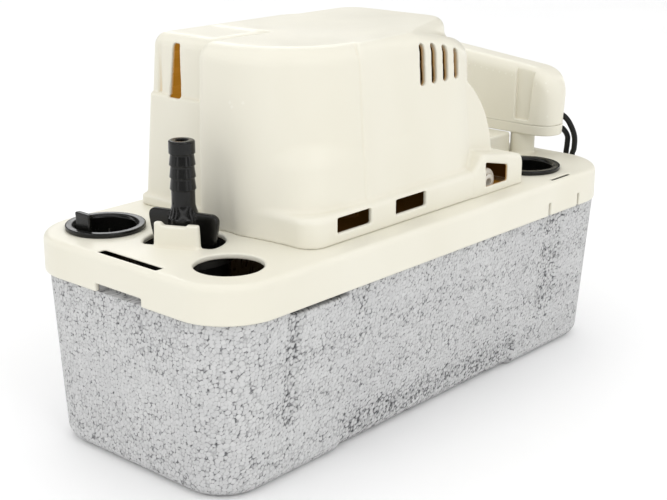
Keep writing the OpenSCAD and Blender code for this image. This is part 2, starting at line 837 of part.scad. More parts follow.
module along_lead(path) {
    translate([path[0][0], path[0][1], 0]) rotate([0, 0, path[1]]) children();
}

module lead(path) {
    start_z = path[0][2];
    bend_r = path[3];
    color(BLACK) along_lead(path) {
        translate([0, 0, start_z]) rotate([0, 90, 0]) cylinder(r = lead_r, h = path[2] - bend_r);
        translate([path[2] - bend_r, 0, start_z]) mirror([0, 0, 1]) quarter_bend(lead_r, bend_r);
        translate([path[2], 0]) rod(lead_r, lead_end, start_z - bend_r);
    }
}

// Hole in the wall of the switch box for a lead
module lead_hole(path) {
    along_lead(path) translate([0, 0, path[0][2]]) rotate([0, 90, 0])
        cylinder(r = lead_r + 0.25, h = 12, center = true);
}

module upper_lead() lead(upper_path);
module lower_lead() lead(lower_path);

module lead_connectors() {
    color([0.75, 0.3, 0.25]) for (path = [upper_path, lower_path])
        along_lead(path) translate([path[2], 0]) rod(2.2, lead_end - 12, lead_end - 0.05);
}

foam_tank();
deck();
motor_cover();
switch_tray();
switch_cover();
rear_inlet_plug();
far_inlet_plug();
wire_bushing();
stator_core();
coil_core();
coil_bobbin();
coil_winding();
shading_rings();
rotor_core();
rotor_end_rings();
motor_shaft();
upper_bracket();
lower_bracket();
upper_bearing();
lower_bearing();
thrust_washer();
motor_bolts();
motor_nuts();
cooling_fan();
thermal_cutout();
motor_leads();
shaft_slinger();
pump_column();
column_screws();
impeller();
impeller_clip();
volute_cover();
volute_screws();
inlet_strainer();
discharge_tube();
valve_socket();
check_valve_body();
valve_o_ring();
ball_seat();
check_ball();
float_body();
float_rod();
rod_collar();
rod_bush();
switch_lever();
lever_pin();
run_switch();
run_button();
safety_switch();
safety_button();
switch_terminals();
switch_screws();
upper_lead();
lower_lead();
lead_connectors();
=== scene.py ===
"""Looks of the condensate removal pump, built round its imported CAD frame. Shapes are worked out in millimetres."""

import json
import math

import bpy
import numpy as np
import openvdb as vdb
from mathutils import Matrix, Vector


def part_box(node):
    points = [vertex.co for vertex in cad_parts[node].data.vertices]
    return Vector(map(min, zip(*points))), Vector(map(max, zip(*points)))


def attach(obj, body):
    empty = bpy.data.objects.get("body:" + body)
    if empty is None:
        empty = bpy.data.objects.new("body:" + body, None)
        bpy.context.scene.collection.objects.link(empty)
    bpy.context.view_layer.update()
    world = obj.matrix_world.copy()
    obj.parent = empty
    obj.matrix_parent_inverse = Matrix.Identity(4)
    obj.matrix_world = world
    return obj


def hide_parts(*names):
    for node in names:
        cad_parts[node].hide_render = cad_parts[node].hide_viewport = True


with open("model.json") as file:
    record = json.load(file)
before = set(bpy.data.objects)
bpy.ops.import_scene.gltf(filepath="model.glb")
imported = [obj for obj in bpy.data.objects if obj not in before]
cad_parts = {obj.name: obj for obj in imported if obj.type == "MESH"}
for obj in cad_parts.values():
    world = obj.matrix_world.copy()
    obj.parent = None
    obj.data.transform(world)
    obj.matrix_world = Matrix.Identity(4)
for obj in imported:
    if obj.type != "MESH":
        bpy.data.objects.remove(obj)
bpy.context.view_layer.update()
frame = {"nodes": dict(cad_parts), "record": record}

MM = 0.001
RECORD = frame["record"]
SLOT_OF = {part["node"]: part["material_slot"] for part in RECORD["subparts"]}
BODY_OF = {node: body for body, nodes in RECORD["behaviour"]["bodies"].items() for node in nodes}


def box_mm(node):
    """Lowest and highest corner of a CAD node, in millimetres."""
    low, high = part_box(node)
    return np.array(low) / MM, np.array(high) / MM


def middle(node):
    low, high = box_mm(node)
    return (low + high) / 2


# Places taken from the CAD frame
DECK_LOW, DECK_HIGH = box_mm("deck")
RIM_BOTTOM = DECK_LOW[2]
DECK_TOP = 92.7
DECK_WALL = 2.5
DECK_CORNER = 26.0
DECK_CORNERS = (26.0, 29.5, 26.0, 26.0)
NEAR_INLET = (-112.7, -37.2)
GUARD_TOP = DECK_TOP + 9.8
REAR_PLUG = middle("rear_inlet_plug")
FAR_PLUG = middle("far_inlet_plug")
INLET_R = 14.3
VALVE = middle("check_ball")
GUARD_TURN = math.radians(207)
WING_TURN = math.radians(-74)
MOTOR = middle("rotor_core")
POST = middle("float_rod")
BOX_LOW, BOX_HIGH = box_mm("switch_cover")
TRAY_LOW, TRAY_HIGH = box_mm("switch_tray")
BOX_X = (BOX_LOW[0] + BOX_HIGH[0]) / 2
BOX_R = (BOX_HIGH[0] - BOX_LOW[0]) / 2
COVER_LOW, COVER_HIGH = box_mm("motor_cover")


# ---------- solids drawn as signed distances, negative inside ----------

def smooth_max(a, b, r):
    """Intersection of two solids, with its outer edge rounded to radius r."""
    return np.minimum(-r, np.maximum(a, b)) + np.hypot(np.maximum(a + r, 0), np.maximum(b + r, 0))


def smooth_min(a, b, r):
    """Union of two solids, with a fillet of radius r where they meet."""
    return np.maximum(r, np.minimum(a, b)) - np.hypot(np.maximum(r - a, 0), np.maximum(r - b, 0))


def carve(solid, cutter, r):
    """Solid less cutter, with the rim of the cut rounded to radius r."""
    return smooth_max(solid, -cutter, r)


def rect(x, y, x_range, y_range, corners):
    """Upright rectangle. Corners is one radius, or four: (-X-Y, +X-Y, +X+Y, -X+Y)."""
    px = x - (x_range[0] + x_range[1]) / 2
    py = y - (y_range[0] + y_range[1]) / 2
    if np.ndim(corners):
        near, far = np.where(px < 0, corners[0], corners[1]), np.where(px < 0, corners[3], corners[2])
        corners = np.where(py < 0, near, far)
    qx = np.abs(px) - (x_range[1] - x_range[0]) / 2 + corners
    qy = np.abs(py) - (y_range[1] - y_range[0]) / 2 + corners
    return np.minimum(np.maximum(qx, qy), 0) + np.hypot(np.maximum(qx, 0), np.maximum(qy, 0)) - corners


def disc(x, y, centre, r):
    return np.hypot(x - centre[0], y - centre[1]) - r


def band(t, low, high):
    """Slab between two values of a coordinate."""
    return np.maximum(low - t, t - high)


def turned(x, y, centre, angle):
    """Coordinates along and across a direction, from a centre."""
    c, s = math.cos(angle), math.sin(angle)
    return (x - centre[0]) * c + (y - centre[1]) * s, (y - centre[1]) * c - (x - centre[0]) * s


def ease(t, low, high):
    """Smooth step from 0 at low to 1 at high."""
    u = np.clip((t - low) / (high - low), 0, 1)
    return u * u * (3 - 2 * u)


class Volume:
    """Sample points over a box, in millimetres, from which a solid's skin is meshed."""

    def __init__(self, low, high, step):
        self.step = step * 1.0
        self.low = np.array(low, float) - 3 * self.step
        counts = np.ceil((np.array(high, float) - self.low) / self.step).astype(int) + 4
        self.shape = tuple(counts)
        lines = [(start + self.step * np.arange(count)).astype(np.float32) for start, count in zip(self.low, counts)]
        self.x, self.y, self.z = np.meshgrid(*lines, indexing="ij", sparse=True)

    def sample(self, values, points):
        """Values at points, each taken from its nearest sample."""
        index = np.rint((points - self.low) / self.step).astype(int)
        index = np.clip(index, 0, np.array(self.shape) - 1)
        return np.broadcast_to(values, self.shape)[tuple(index.T)]

    def skin(self, name, solid, outer=None, wall=1.0):
        """Mesh object of the solid's skin. Its 'inside' attribute rises to 1 a wall below the outer form."""
        reach = 3 * self.step
        grid = vdb.FloatGrid(reach)
        solid = np.broadcast_to(solid, self.shape)
        grid.copyFromArray(np.ascontiguousarray(np.clip(solid, -reach, reach), dtype=np.float32))
        points, _, quads = grid.convertToPolygons(isovalue=0.0, adaptivity=0.0)
        points = points * self.step + self.low
        obj = mesh_object(name, points, quads)
        if outer is not None:
            depth = -self.sample(outer, points) / self.sample(wall, points)
            add_attribute(obj, "inside", np.clip(np.maximum(depth, under_cover(points)), 0, 1))
            add_attribute(obj, "glow", glow(points))
        return obj


def under_cover(points):
    """1 for the places that lie in the dark under the motor cover."""
    x, y, z = points.T
    return (band(x, -75, 66) < 0) * (band(y, -48.5, 44) < 0) * (band(z, DECK_TOP - 1, 103) < 0)


def glow(points):
    """How much light soaks through the walls: most in the top of the tower, some at the vents and far window."""
    x, y, z = points.T
    tower = (1 - ease(x, -40, -25)) * ease(y, 25, 40) * ease(z, 118, 140)
    vents = ease(z, 140, 145) * (1 - ease(y, -40, -34)) * ease(x, -6, -4)
    window = ease(x, 36, 42) * (1 - ease(x, 62, 70)) * (1 - ease(y, -42, -30)) * (1 - ease(z, 112, 120))
    window = window * (y > -52)
    return 0.03 + 0.97 * tower + 0.35 * vents + 0.45 * window


def mesh_object(name, points, faces):
    """Smooth-shaded object from points in millimetres and faces that all have the same number of corners."""
    mesh = bpy.data.meshes.new(name)
    faces = np.ascontiguousarray(faces, dtype=np.int32)
    mesh.vertices.add(len(points))
    mesh.vertices.foreach_set("co", (np.asarray(points) * MM).astype(np.float32).ravel())
    mesh.loops.add(faces.size)
    mesh.loops.foreach_set("vertex_index", faces.ravel())
    mesh.polygons.add(len(faces))
    mesh.polygons.foreach_set("loop_start", np.arange(0, faces.size, faces.shape[1], dtype=np.int32))
    mesh.update(calc_edges=True)
    mesh.shade_smooth()
    obj = bpy.data.objects.new(name, mesh)
    bpy.context.scene.collection.objects.link(obj)
    return obj


def add_attribute(obj, name, values):
    attribute = obj.data.attributes.new(name, "FLOAT", "POINT")
    attribute.data.foreach_set("value", np.ascontiguousarray(values, dtype=np.float32).ravel())


def stand_for(obj, node, material):
    """obj takes the place of one CAD node: its body and its material."""
    obj.data.materials.append(material)
    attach(obj, BODY_OF[node])
    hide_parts(node)
    return obj


# ---------- materials ----------

class Finish:
    """A Principled material, built node by node in the object's own millimetres."""

    def __init__(self, name, roughness, metallic=0.0, **inputs):
        self.material = bpy.data.materials.new(name)
        self.material.use_nodes = True
        self.tree = self.material.node_tree
        self.shader = self.tree.nodes["Principled BSDF"]
        self.shader.inputs["Roughness"].default_value = roughness
        self.shader.inputs["Metallic"].default_value = metallic
        for key, value in inputs.items():
            self.shader.inputs[key.replace("_", " ")].default_value = value
        self.place = self.add("ShaderNodeTexCoord").outputs["Object"]
        self.normal = None

    def add(self, kind, **settings):
        node = self.tree.nodes.new(kind)
        for key, value in settings.items():
            setattr(node, key, value)
        return node

    def feed(self, socket, value):
        """Joins an output to an input, or sets a plain value on it."""
        if isinstance(value, bpy.types.NodeSocket):
            self.tree.links.new(value, socket)
        else:
            socket.default_value = value

    def stretched(self, scale):
        """Object coordinates stretched by a factor along each axis."""
        node = self.add("ShaderNodeMapping")
        self.feed(node.inputs["Vector"], self.place)
        node.inputs["Scale"].default_value = scale
        return node.outputs["Vector"]

    def noise(self, size, detail=3.0, along=(1, 1, 1)):
        """Cloudy value, about 0.5 on average, whose features are about size millimetres."""
        node = self.add("ShaderNodeTexNoise")
        self.feed(node.inputs["Vector"], self.stretched(along))
        node.inputs["Scale"].default_value = 1 / (size * MM)
        node.inputs["Detail"].default_value = detail
        return node.outputs["Fac"]

    def cells(self, size, feature="F1"):
        node = self.add("ShaderNodeTexVoronoi", feature=feature)
        self.feed(node.inputs["Vector"], self.place)
        node.inputs["Scale"].default_value = 1 / (size * MM)
        return node.outputs["Distance"]

    def stripes(self, pitch, direction="Z", waver=0.0):
        """Even bands across a direction, one every pitch millimetres."""
        node = self.add("ShaderNodeTexWave", bands_direction=direction)
        self.feed(node.inputs["Vector"], self.place)
        node.inputs["Scale"].default_value = math.pi / 10 / (pitch * MM)
        node.inputs["Distortion"].default_value = waver
        return node.outputs["Fac"]

    def attribute(self, name):
        return self.add("ShaderNodeAttribute", attribute_name=name).outputs["Fac"]

    def edges(self):
        """0.5 on flat skin, more on raised edges and less in creases."""
        return self.add("ShaderNodeNewGeometry").outputs["Pointiness"]

    def spread(self, value, low, high, to_low=0.0, to_high=1.0):
        """Maps the range low..high of a value to another range, and holds it there."""
        node = self.add("ShaderNodeMapRange")
        for name, number in zip(("From Min", "From Max", "To Min", "To Max"), (low, high, to_low, to_high)):
            node.inputs[name].default_value = number
        self.feed(node.inputs["Value"], value)
        return node.outputs["Result"]

    def sum(self, a, b, operation="ADD"):
        node = self.add("ShaderNodeMath", operation=operation)
        self.feed(node.inputs[0], a)
        self.feed(node.inputs[1], b)
        return node.outputs["Value"]

    def blend(self, share, a, b):
        """Colour a at share 0, colour b at share 1."""
        node = self.add("ShaderNodeMix", data_type="RGBA")
        self.feed(node.inputs["Factor"], share)
        colours = [socket for socket in node.inputs if socket.type == "RGBA"]
        for socket, colour in zip(colours, (a, b)):
            self.feed(socket, colour if isinstance(colour, bpy.types.NodeSocket) else (*colour, 1.0))
        return next(socket for socket in node.outputs if socket.type == "RGBA")

    def colour(self, value):
        self.feed(self.shader.inputs["Base Color"], value)

    def roughness(self, value):
        self.feed(self.shader.inputs["Roughness"], value)

    def bump(self, height, depth_mm, strength=1.0):
        """Adds a bump to the surface; later bumps sit on earlier ones."""
        node = self.add("ShaderNodeBump")
        node.inputs["Distance"].default_value = depth_mm * MM
        node.inputs["Strength"].default_value = strength
        self.feed(node.inputs["Height"], height)
        if self.normal is not None:
            self.feed(node.inputs["Normal"], self.normal)
        self.normal = node.outputs["Normal"]
        self.feed(self.shader.inputs["Normal"], self.normal)


def cream_plastic():
    """Ivory moulding with a satin skin: faint flow marks, paler edges, painted shade in the creases, painted dark
    shade on the hollow's inner faces and a painted brown glow where light comes through the thin walls.
    """
    f = Finish("cream_plastic", 0.34, IOR=1.48, Specular_IOR_Level=0.22)
    flow = f.spread(f.noise(46, 2, (1, 1, 0.45)), 0.35, 0.65)
    skin = f.blend(flow, (0.745, 0.718, 0.612), (0.77, 0.745, 0.645))
    # painted shade: the creases are darkened towards brown
    skin = f.blend(f.spread(f.edges(), 0.44, 0.5, 0.4, 0.0), skin, (0.69, 0.61, 0.45))
    skin = f.blend(f.spread(f.edges(), 0.51, 0.6, 0.0, 0.5), skin, (0.84, 0.825, 0.74))
    # painted light: inside the hollow, where light comes through the thin walls, the skin is tinted brown
    painted_glow_share = f.sum(f.spread(f.attribute("inside"), 0.3, 0.8), f.spread(f.attribute("glow"), 0.05, 0.4), "MULTIPLY")
    skin = f.blend(painted_glow_share, skin, (0.56, 0.4, 0.2))
    # painted shade: the hollow's inner faces and the deck under the cover are painted dark brown
    inside = f.spread(f.attribute("inside"), 0.8, 1.0)
    f.colour(f.blend(inside, skin, (0.1, 0.045, 0.015)))
    # painted glow: an emission stands in for the light that comes through the thin walls and tints the hollow
    f.feed(f.shader.inputs["Emission Color"], (0.3, 0.13, 0.012, 1.0))
    soaked = f.sum(f.spread(f.attribute("inside"), 0.45, 0.9), f.attribute("glow"), "MULTIPLY")
    f.feed(f.shader.inputs["Emission Strength"], soaked)
    grain = f.noise(0.55, 4)
    f.roughness(f.spread(f.sum(grain, f.noise(18, 3)), 0.7, 1.3, 0.28, 0.42))
    f.bump(grain, 0.012, 0.5)
    f.bump(f.noise(11, 2), 0.05, 0.35)
    return f.material


def bead_foam():
    """Grey moulded beads. The mesh carries the beads: 'seam' is 0 between beads, 'pit' 0 where three meet."""
    f = Finish("bead_foam", 0.86, IOR=1.4)
    bead = f.blend(f.attribute("tone"), (0.49, 0.492, 0.494), (0.595, 0.597, 0.595))
    bead = f.blend(f.spread(f.noise(0.7, 4), 0.35, 0.7, 0.0, 0.35), bead, (0.68, 0.68, 0.675))
    bead = f.blend(f.spread(f.noise(35, 2), 0.4, 0.6, 0.0, 0.12), bead, (0.4, 0.4, 0.41))
    seam = f.blend(f.spread(f.attribute("seam"), 0.0, 0.18, 0.62, 0.0), bead, (0.29, 0.29, 0.295))
    # painted shade: only some of the pits are open, and these are painted near black for the shade in them
    some = f.spread(f.noise(2.2, 1), 0.47, 0.54, 0.2, 1.0)
    pitted = f.sum(f.spread(f.attribute("pit"), 0.03, 0.24, 0.97, 0.0), some, "MULTIPLY")
    wear_and_pit_shade = f.blend(pitted, seam, (0.03, 0.03, 0.035))
    # painted shade: the gaps under the rim and behind the end notches are painted near black
    f.colour(f.blend(f.attribute("gap"), wear_and_pit_shade, (0.035, 0.033, 0.025)))
    f.roughness(f.spread(f.attribute("tone"), 0, 1, 0.72, 0.92))
    f.bump(f.noise(0.45, 4), 0.05, 0.5)
    f.bump(f.cells(0.9), 0.03, 0.4)
    return f.material


def black_plastic():
    """Glass-filled black moulding: satin, with fine grain, grey rubbed edges and a little dust."""
    f = Finish("black_plastic", 0.22, IOR=1.5, Specular_IOR_Level=0.35)
    base = f.blend(f.spread(f.noise(9, 3), 0.4, 0.62), (0.0025, 0.0025, 0.0022), (0.006, 0.0058, 0.005))
    wear_and_pit_shade = f.blend(f.spread(f.edges(), 0.52, 0.62, 0.0, 0.55), base, (0.07, 0.068, 0.06))
    f.colour(f.blend(f.spread(f.noise(1.2, 5), 0.62, 0.75, 0.0, 0.15), wear_and_pit_shade, (0.05, 0.048, 0.042)))
    grain = f.noise(0.35, 4)
    f.roughness(f.spread(f.sum(grain, f.noise(5, 3)), 0.7, 1.3, 0.14, 0.28))
    f.bump(grain, 0.01, 0.4)
    return f.material


def black_rubber():
    """Soft black sheath: matt, faintly ribbed along its length by the die it was drawn through."""
    f = Finish("black_rubber", 0.4, IOR=1.52, Specular_IOR_Level=0.25)
    f.colour(f.blend(f.noise(4, 3), (0.003, 0.003, 0.0028), (0.008, 0.0078, 0.007)))
    drawn = f.noise(0.3, 3, (1, 1, 0.08))
    f.roughness(f.spread(drawn, 0.3, 0.7, 0.3, 0.46))
    f.bump(drawn, 0.03, 0.5)
    return f.material


def nylon(name, pale, dark, roughness):
    """Natural nylon moulding, with soft clouding and a dry skin."""
    f = Finish(name, roughness, IOR=1.5)
    skin = f.blend(f.spread(f.noise(7, 3), 0.35, 0.65), dark, pale)
    f.colour(f.blend(f.spread(f.edges(), 0.5, 0.6, 0.0, 0.4), skin, [min(1, c * 1.12) for c in pale]))
    grain = f.noise(0.4, 4)
    f.roughness(f.spread(grain, 0.3, 0.7, roughness - 0.08, roughness + 0.1))
    f.bump(grain, 0.02, 0.5)
    return f.material


def float_foam():
    """Closed-cell float: off-white skin with small open cells."""
    f = Finish("float_foam", 0.8)
    cells = f.cells(0.8)
    f.colour(f.blend(f.spread(cells, 0.1, 0.6), (0.52, 0.51, 0.48), (0.78, 0.77, 0.74)))
    f.roughness(f.spread(f.noise(3), 0.3, 0.7, 0.7, 0.9))
    f.bump(cells, 0.12, 0.7)
    return f.material


def lamination():
    """Stack of punched steel sheets: bright cut edges with thin dark varnish between them."""
    f = Finish("lamination", 0.42, 0.9)
    sheets = f.stripes(0.5)
    steel = f.blend(f.noise(3, 5), (0.2, 0.19, 0.185), (0.42, 0.41, 0.4))
    steel = f.blend(f.spread(f.noise(12, 4), 0.55, 0.75, 0.0, 0.5), steel, (0.2, 0.1, 0.05))
    f.colour(f.blend(f.spread(sheets, 0.0, 0.35, 0.8, 0.0), steel, (0.03, 0.028, 0.026)))
    f.roughness(f.spread(f.noise(1.5, 4), 0.3, 0.7, 0.34, 0.58))
    f.bump(sheets, 0.06, 0.8)
    return f.material


def metal(name, pale, dark, roughness, size, along=(1, 1, 1)):
    """Bare or plated metal: streaked or spangled tone, bright rubbed edges and fine tool marks."""
    f = Finish(name, roughness, 1.0)
    tone = f.blend(f.spread(f.noise(size, 4, along), 0.35, 0.65), dark, pale)
    f.colour(f.blend(f.spread(f.edges(), 0.52, 0.62, 0.0, 0.5), tone, [min(1, c * 1.25) for c in pale]))
    marks = f.noise(0.25, 3, along)
    f.roughness(f.spread(f.sum(marks, f.noise(4, 3)), 0.7, 1.3, roughness - 0.08, roughness + 0.14))
    f.bump(marks, 0.012, 0.6)
    return f.material


def copper():
    """Enamelled copper wire, wound side by side, with painted shade in the grooves between the turns."""
    f = Finish("copper", 0.3, 0.85, Coat_Weight=0.5)
    wires = f.stripes(0.55, "Y", 0.4)
    # painted shade: each turn is darkened at its sides, between it and the next
    f.colour(f.blend(f.spread(wires, 0.1, 0.8), (0.13, 0.035, 0.012), (0.6, 0.25, 0.1)))
    f.roughness(f.spread(f.noise(2, 3), 0.3, 0.7, 0.22, 0.42))
    f.bump(wires, 0.16, 0.9)
    return f.material


def dyed_plastic(name, pale, dark):
    """Small moulded or heat-shrunk parts in one strong colour."""
    f = Finish(name, 0.38, IOR=1.48)
    f.colour(f.blend(f.spread(f.noise(2.5, 3), 0.35, 0.65), dark, pale))
    grain = f.noise(0.3, 4)
    f.roughness(f.spread(grain, 0.3, 0.7, 0.3, 0.48))
    f.bump(grain, 0.02, 0.5)
    return f.material


def clear_hose():
    """Milky vinyl: part of the light passes through it."""
    f = Finish("clear_hose", 0.22, IOR=1.5, Transmission_Weight=0.35)
    f.colour(f.blend(f.noise(8, 3), (0.62, 0.65, 0.6), (0.78, 0.8, 0.76)))
    drawn = f.noise(0.6, 3, (1, 1, 0.1))
    f.roughness(f.spread(drawn, 0.3, 0.7, 0.18, 0.32))
    f.bump(drawn, 0.02, 0.4)
    return f.material


MATERIALS = {
    "cream_plastic": cream_plastic(),
    "bead_foam": bead_foam(),
    "black_plastic": black_plastic(),
    "black_rubber": black_rubber(),
    "white_nylon": nylon("white_nylon", (0.76, 0.75, 0.69), (0.66, 0.64, 0.57), 0.42),
    "clear_hose": clear_hose(),
    "float_foam": float_foam(),
    "lamination": lamination(),
    "steel": metal("steel", (0.6, 0.6, 0.61), (0.42, 0.42, 0.43), 0.28, 6, (1, 1, 0.2)),
    "zinc_bracket": metal("zinc_bracket", (0.56, 0.57, 0.58), (0.4, 0.41, 0.42), 0.36, 3),
    "rotor_aluminium": metal("rotor_aluminium", (0.68, 0.69, 0.7), (0.5, 0.51, 0.52), 0.4, 2),
    "bronze": metal("bronze", (0.5, 0.33, 0.16), (0.3, 0.19, 0.09), 0.4, 1.5),
    "copper": copper(),
    "switch_case": dyed_plastic("switch_case", (0.05, 0.05, 0.056), (0.025, 0.025, 0.03)),
    "button_red": dyed_plastic("button_red", (0.42, 0.035, 0.022), (0.3, 0.02, 0.015)),
    "terminal_brass": metal("terminal_brass", (0.72, 0.55, 0.28), (0.52, 0.38, 0.18), 0.3, 2),
    "connector": dyed_plastic("connector", (0.5, 0.13, 0.1), (0.36, 0.08, 0.06)),
}


# ---------- foam tank ----------

BEAD = 1.85              # distance between beads
TANK_LOW, TANK_HIGH = box_mm("foam_tank")
TANK_TOP = RIM_BOTTOM - 0.3
FOOT_SIZE = (272.0, 111.0)
TOP_SIZE = (275.4, 123.0)
FOOT_CORNER = 21.0
TOP_CORNER = 24.0
FOOT_ROUND = 7.0
LIP_SIZE = (273.2, 120.8)
LIP_WALL = 5.0
LIP_CORNER = 22.9
TANK_FLOOR = 9.0
FOOT_WALL = 8.0
FEET_GAP = (-66.0, 63.0)  # the long walls lean in between the feet


class Beads:
    """Beads scattered over a box, one in each cell of a lattice."""

    def __init__(self, low, high, seed):
        self.low = np.array(low) - 2 * BEAD
        self.count = np.ceil((np.array(high) - self.low) / BEAD).astype(int) + 3
        draw = np.random.default_rng(seed)
        self.jitter = draw.uniform(0.08, 0.92, (*self.count, 3))
        self.tones = draw.beta(2.2, 2.2, self.count)

    def measure(self, points):
        """For each point: the nearest bead's tone, and how far beyond it the second and third nearest are."""
        scaled = (points - self.low) / BEAD
        cell = np.clip(np.floor(scaled).astype(int), 1, self.count - 2)
        nearest = np.full((len(points), 3), 9.0)
        tone = np.zeros(len(points))
        for step in np.ndindex(3, 3, 3):
            near_cell = tuple((cell + np.array(step) - 1).T)
            centre = np.stack(near_cell, 1) + self.jitter[near_cell]
            distance = np.linalg.norm(scaled - centre, axis=1)
            tone = np.where(distance < nearest[:, 0], self.tones[near_cell], tone)
            nearest = np.sort(np.column_stack((nearest, distance)), axis=1)[:, :3]
        return tone, nearest[:, 1] - nearest[:, 0], nearest[:, 2] - nearest[:, 0]


def ring_points(size, corner, spacing):
    """Points round a rounded rectangle and their outward normals. The count depends on the deck's size only."""
    corner_steps = max(int(DECK_CORNER * math.pi / 2 / spacing), 6)
    side_steps = [int(length / spacing) for length in (DECK_HIGH - DECK_LOW)[[1, 0]] - 2 * DECK_CORNER]
    points, normals = [], []
    for quarter in range(4):
        start = quarter * math.pi / 2
        signs = np.array([(1, 1), (-1, 1), (-1, -1), (1, -1)][quarter])
        centre = signs * (np.array(size) / 2 - corner)
        angles = start + np.linspace(0, math.pi / 2, corner_steps, endpoint=False)
        arc = np.column_stack((np.cos(angles), np.sin(angles)))
        points.append(centre + corner * arc)
        normals.append(arc)
        # the straight run to the next corner
        end = start + math.pi / 2
        out = np.array((math.cos(end), math.sin(end)))
        following = np.array([(-1, 1), (-1, -1), (1, -1), (1, 1)][quarter]) * (np.array(size) / 2 - corner)
        steps = side_steps[1 - quarter % 2]
        share = np.linspace(0, 1, steps, endpoint=False)[:, None]
        points.append((1 - share) * centre + share * following + corner * out)
        normals.append(np.tile(out, (steps, 1)))
    return np.concatenate(points), np.concatenate(normals)


def tank_rings(spacing):
    """The tank's section from the outer floor, up the wall, over the lip and down inside to the floor.

    Each entry is (length, width, corner radius, height, how much the beads show)."""
    rings = []
    for share in np.linspace(0.12, 1, int(FOOT_SIZE[1] / 2 / spacing / 2)):
        inset = FOOT_ROUND + (1 - share) * (FOOT_SIZE[1] / 2 - FOOT_ROUND - 1)
        rings.append((FOOT_SIZE[0] - 2 * inset, FOOT_SIZE[1] - 2 * inset, max(FOOT_CORNER - inset, 1), 0.0, 0.6))
    for turn in np.linspace(0, math.pi / 2, int(FOOT_ROUND * 1.6 / spacing)):
        inset = FOOT_ROUND * (1 - math.sin(turn))
        height = FOOT_ROUND * (1 - math.cos(turn))
        rings.append((FOOT_SIZE[0] - 2 * inset, FOOT_SIZE[1] - 2 * inset, FOOT_CORNER - inset, height, 1.0))
    for share in np.linspace(0, 1, int((TANK_TOP - FOOT_ROUND) / spacing))[1:]:
        size = [low + share * (high - low) for low, high in zip(FOOT_SIZE, TOP_SIZE)]
        corner = FOOT_CORNER + share * (TOP_CORNER - FOOT_CORNER)
        rings.append((*size, corner, FOOT_ROUND + share * (TANK_TOP - FOOT_ROUND), 1.0))
    rings.append((*LIP_SIZE, LIP_CORNER, TANK_TOP, 0.3))
    for height in np.arange(TANK_TOP + 1, TANK_HIGH[2], 1.0):
        rings.append((*LIP_SIZE, LIP_CORNER, height, 0.5))
    for inset in (0.4, 2.5, LIP_WALL - 0.4):
        rings.append((LIP_SIZE[0] - 2 * inset, LIP_SIZE[1] - 2 * inset, LIP_CORNER - inset, TANK_HIGH[2], 0.5))
    for share in np.linspace(0, 1, 40):
        size = [
            (top - 2 * LIP_WALL) * (1 - share) + (foot - 2 * FOOT_WALL) * share
            for top, foot in zip(LIP_SIZE, FOOT_SIZE)
        ]
        corner = (LIP_CORNER - LIP_WALL) * (1 - share) + (FOOT_CORNER - 6) * share
        rings.append((*size, corner, TANK_HIGH[2] - share * (TANK_HIGH[2] - TANK_FLOOR), 0.5))
    for share in np.linspace(0, 0.9, 24)[1:]:
        inset = FOOT_WALL + share * (FOOT_SIZE[1] / 2 - FOOT_WALL - 1)
        rings.append((FOOT_SIZE[0] - 2 * inset, FOOT_SIZE[1] - 2 * inset, max(15 - inset, 1), TANK_FLOOR, 0.5))
    return rings


def groove_depth(x, z):
    """How far the long walls are sunk at each place: flutes, the hollow between the feet, and a short groove."""
    depth = np.zeros_like(x)
    for centre, half_width, deepest in ((-100.5, 4.4, 1.5), (86.0, 9.0, 2.0)):
        across = np.clip(1 - ((x - centre) / half_width) ** 2, 0, None)
        depth += deepest * np.sqrt(across) * ease(z, 14, 34)
    between = ease(x, FEET_GAP[0] - 2, FEET_GAP[0] + 2) * (1 - ease(x, FEET_GAP[1] - 0.6, FEET_GAP[1] + 0.6))
    depth += 2.2 * between * np.clip(1 - z / 28, 0, 1)
    short = ease(x, -64.5, -62.5) * (1 - ease(x, -54.5, -52.5)) * ease(z, 60, 64)
    return depth + 0.9 * short


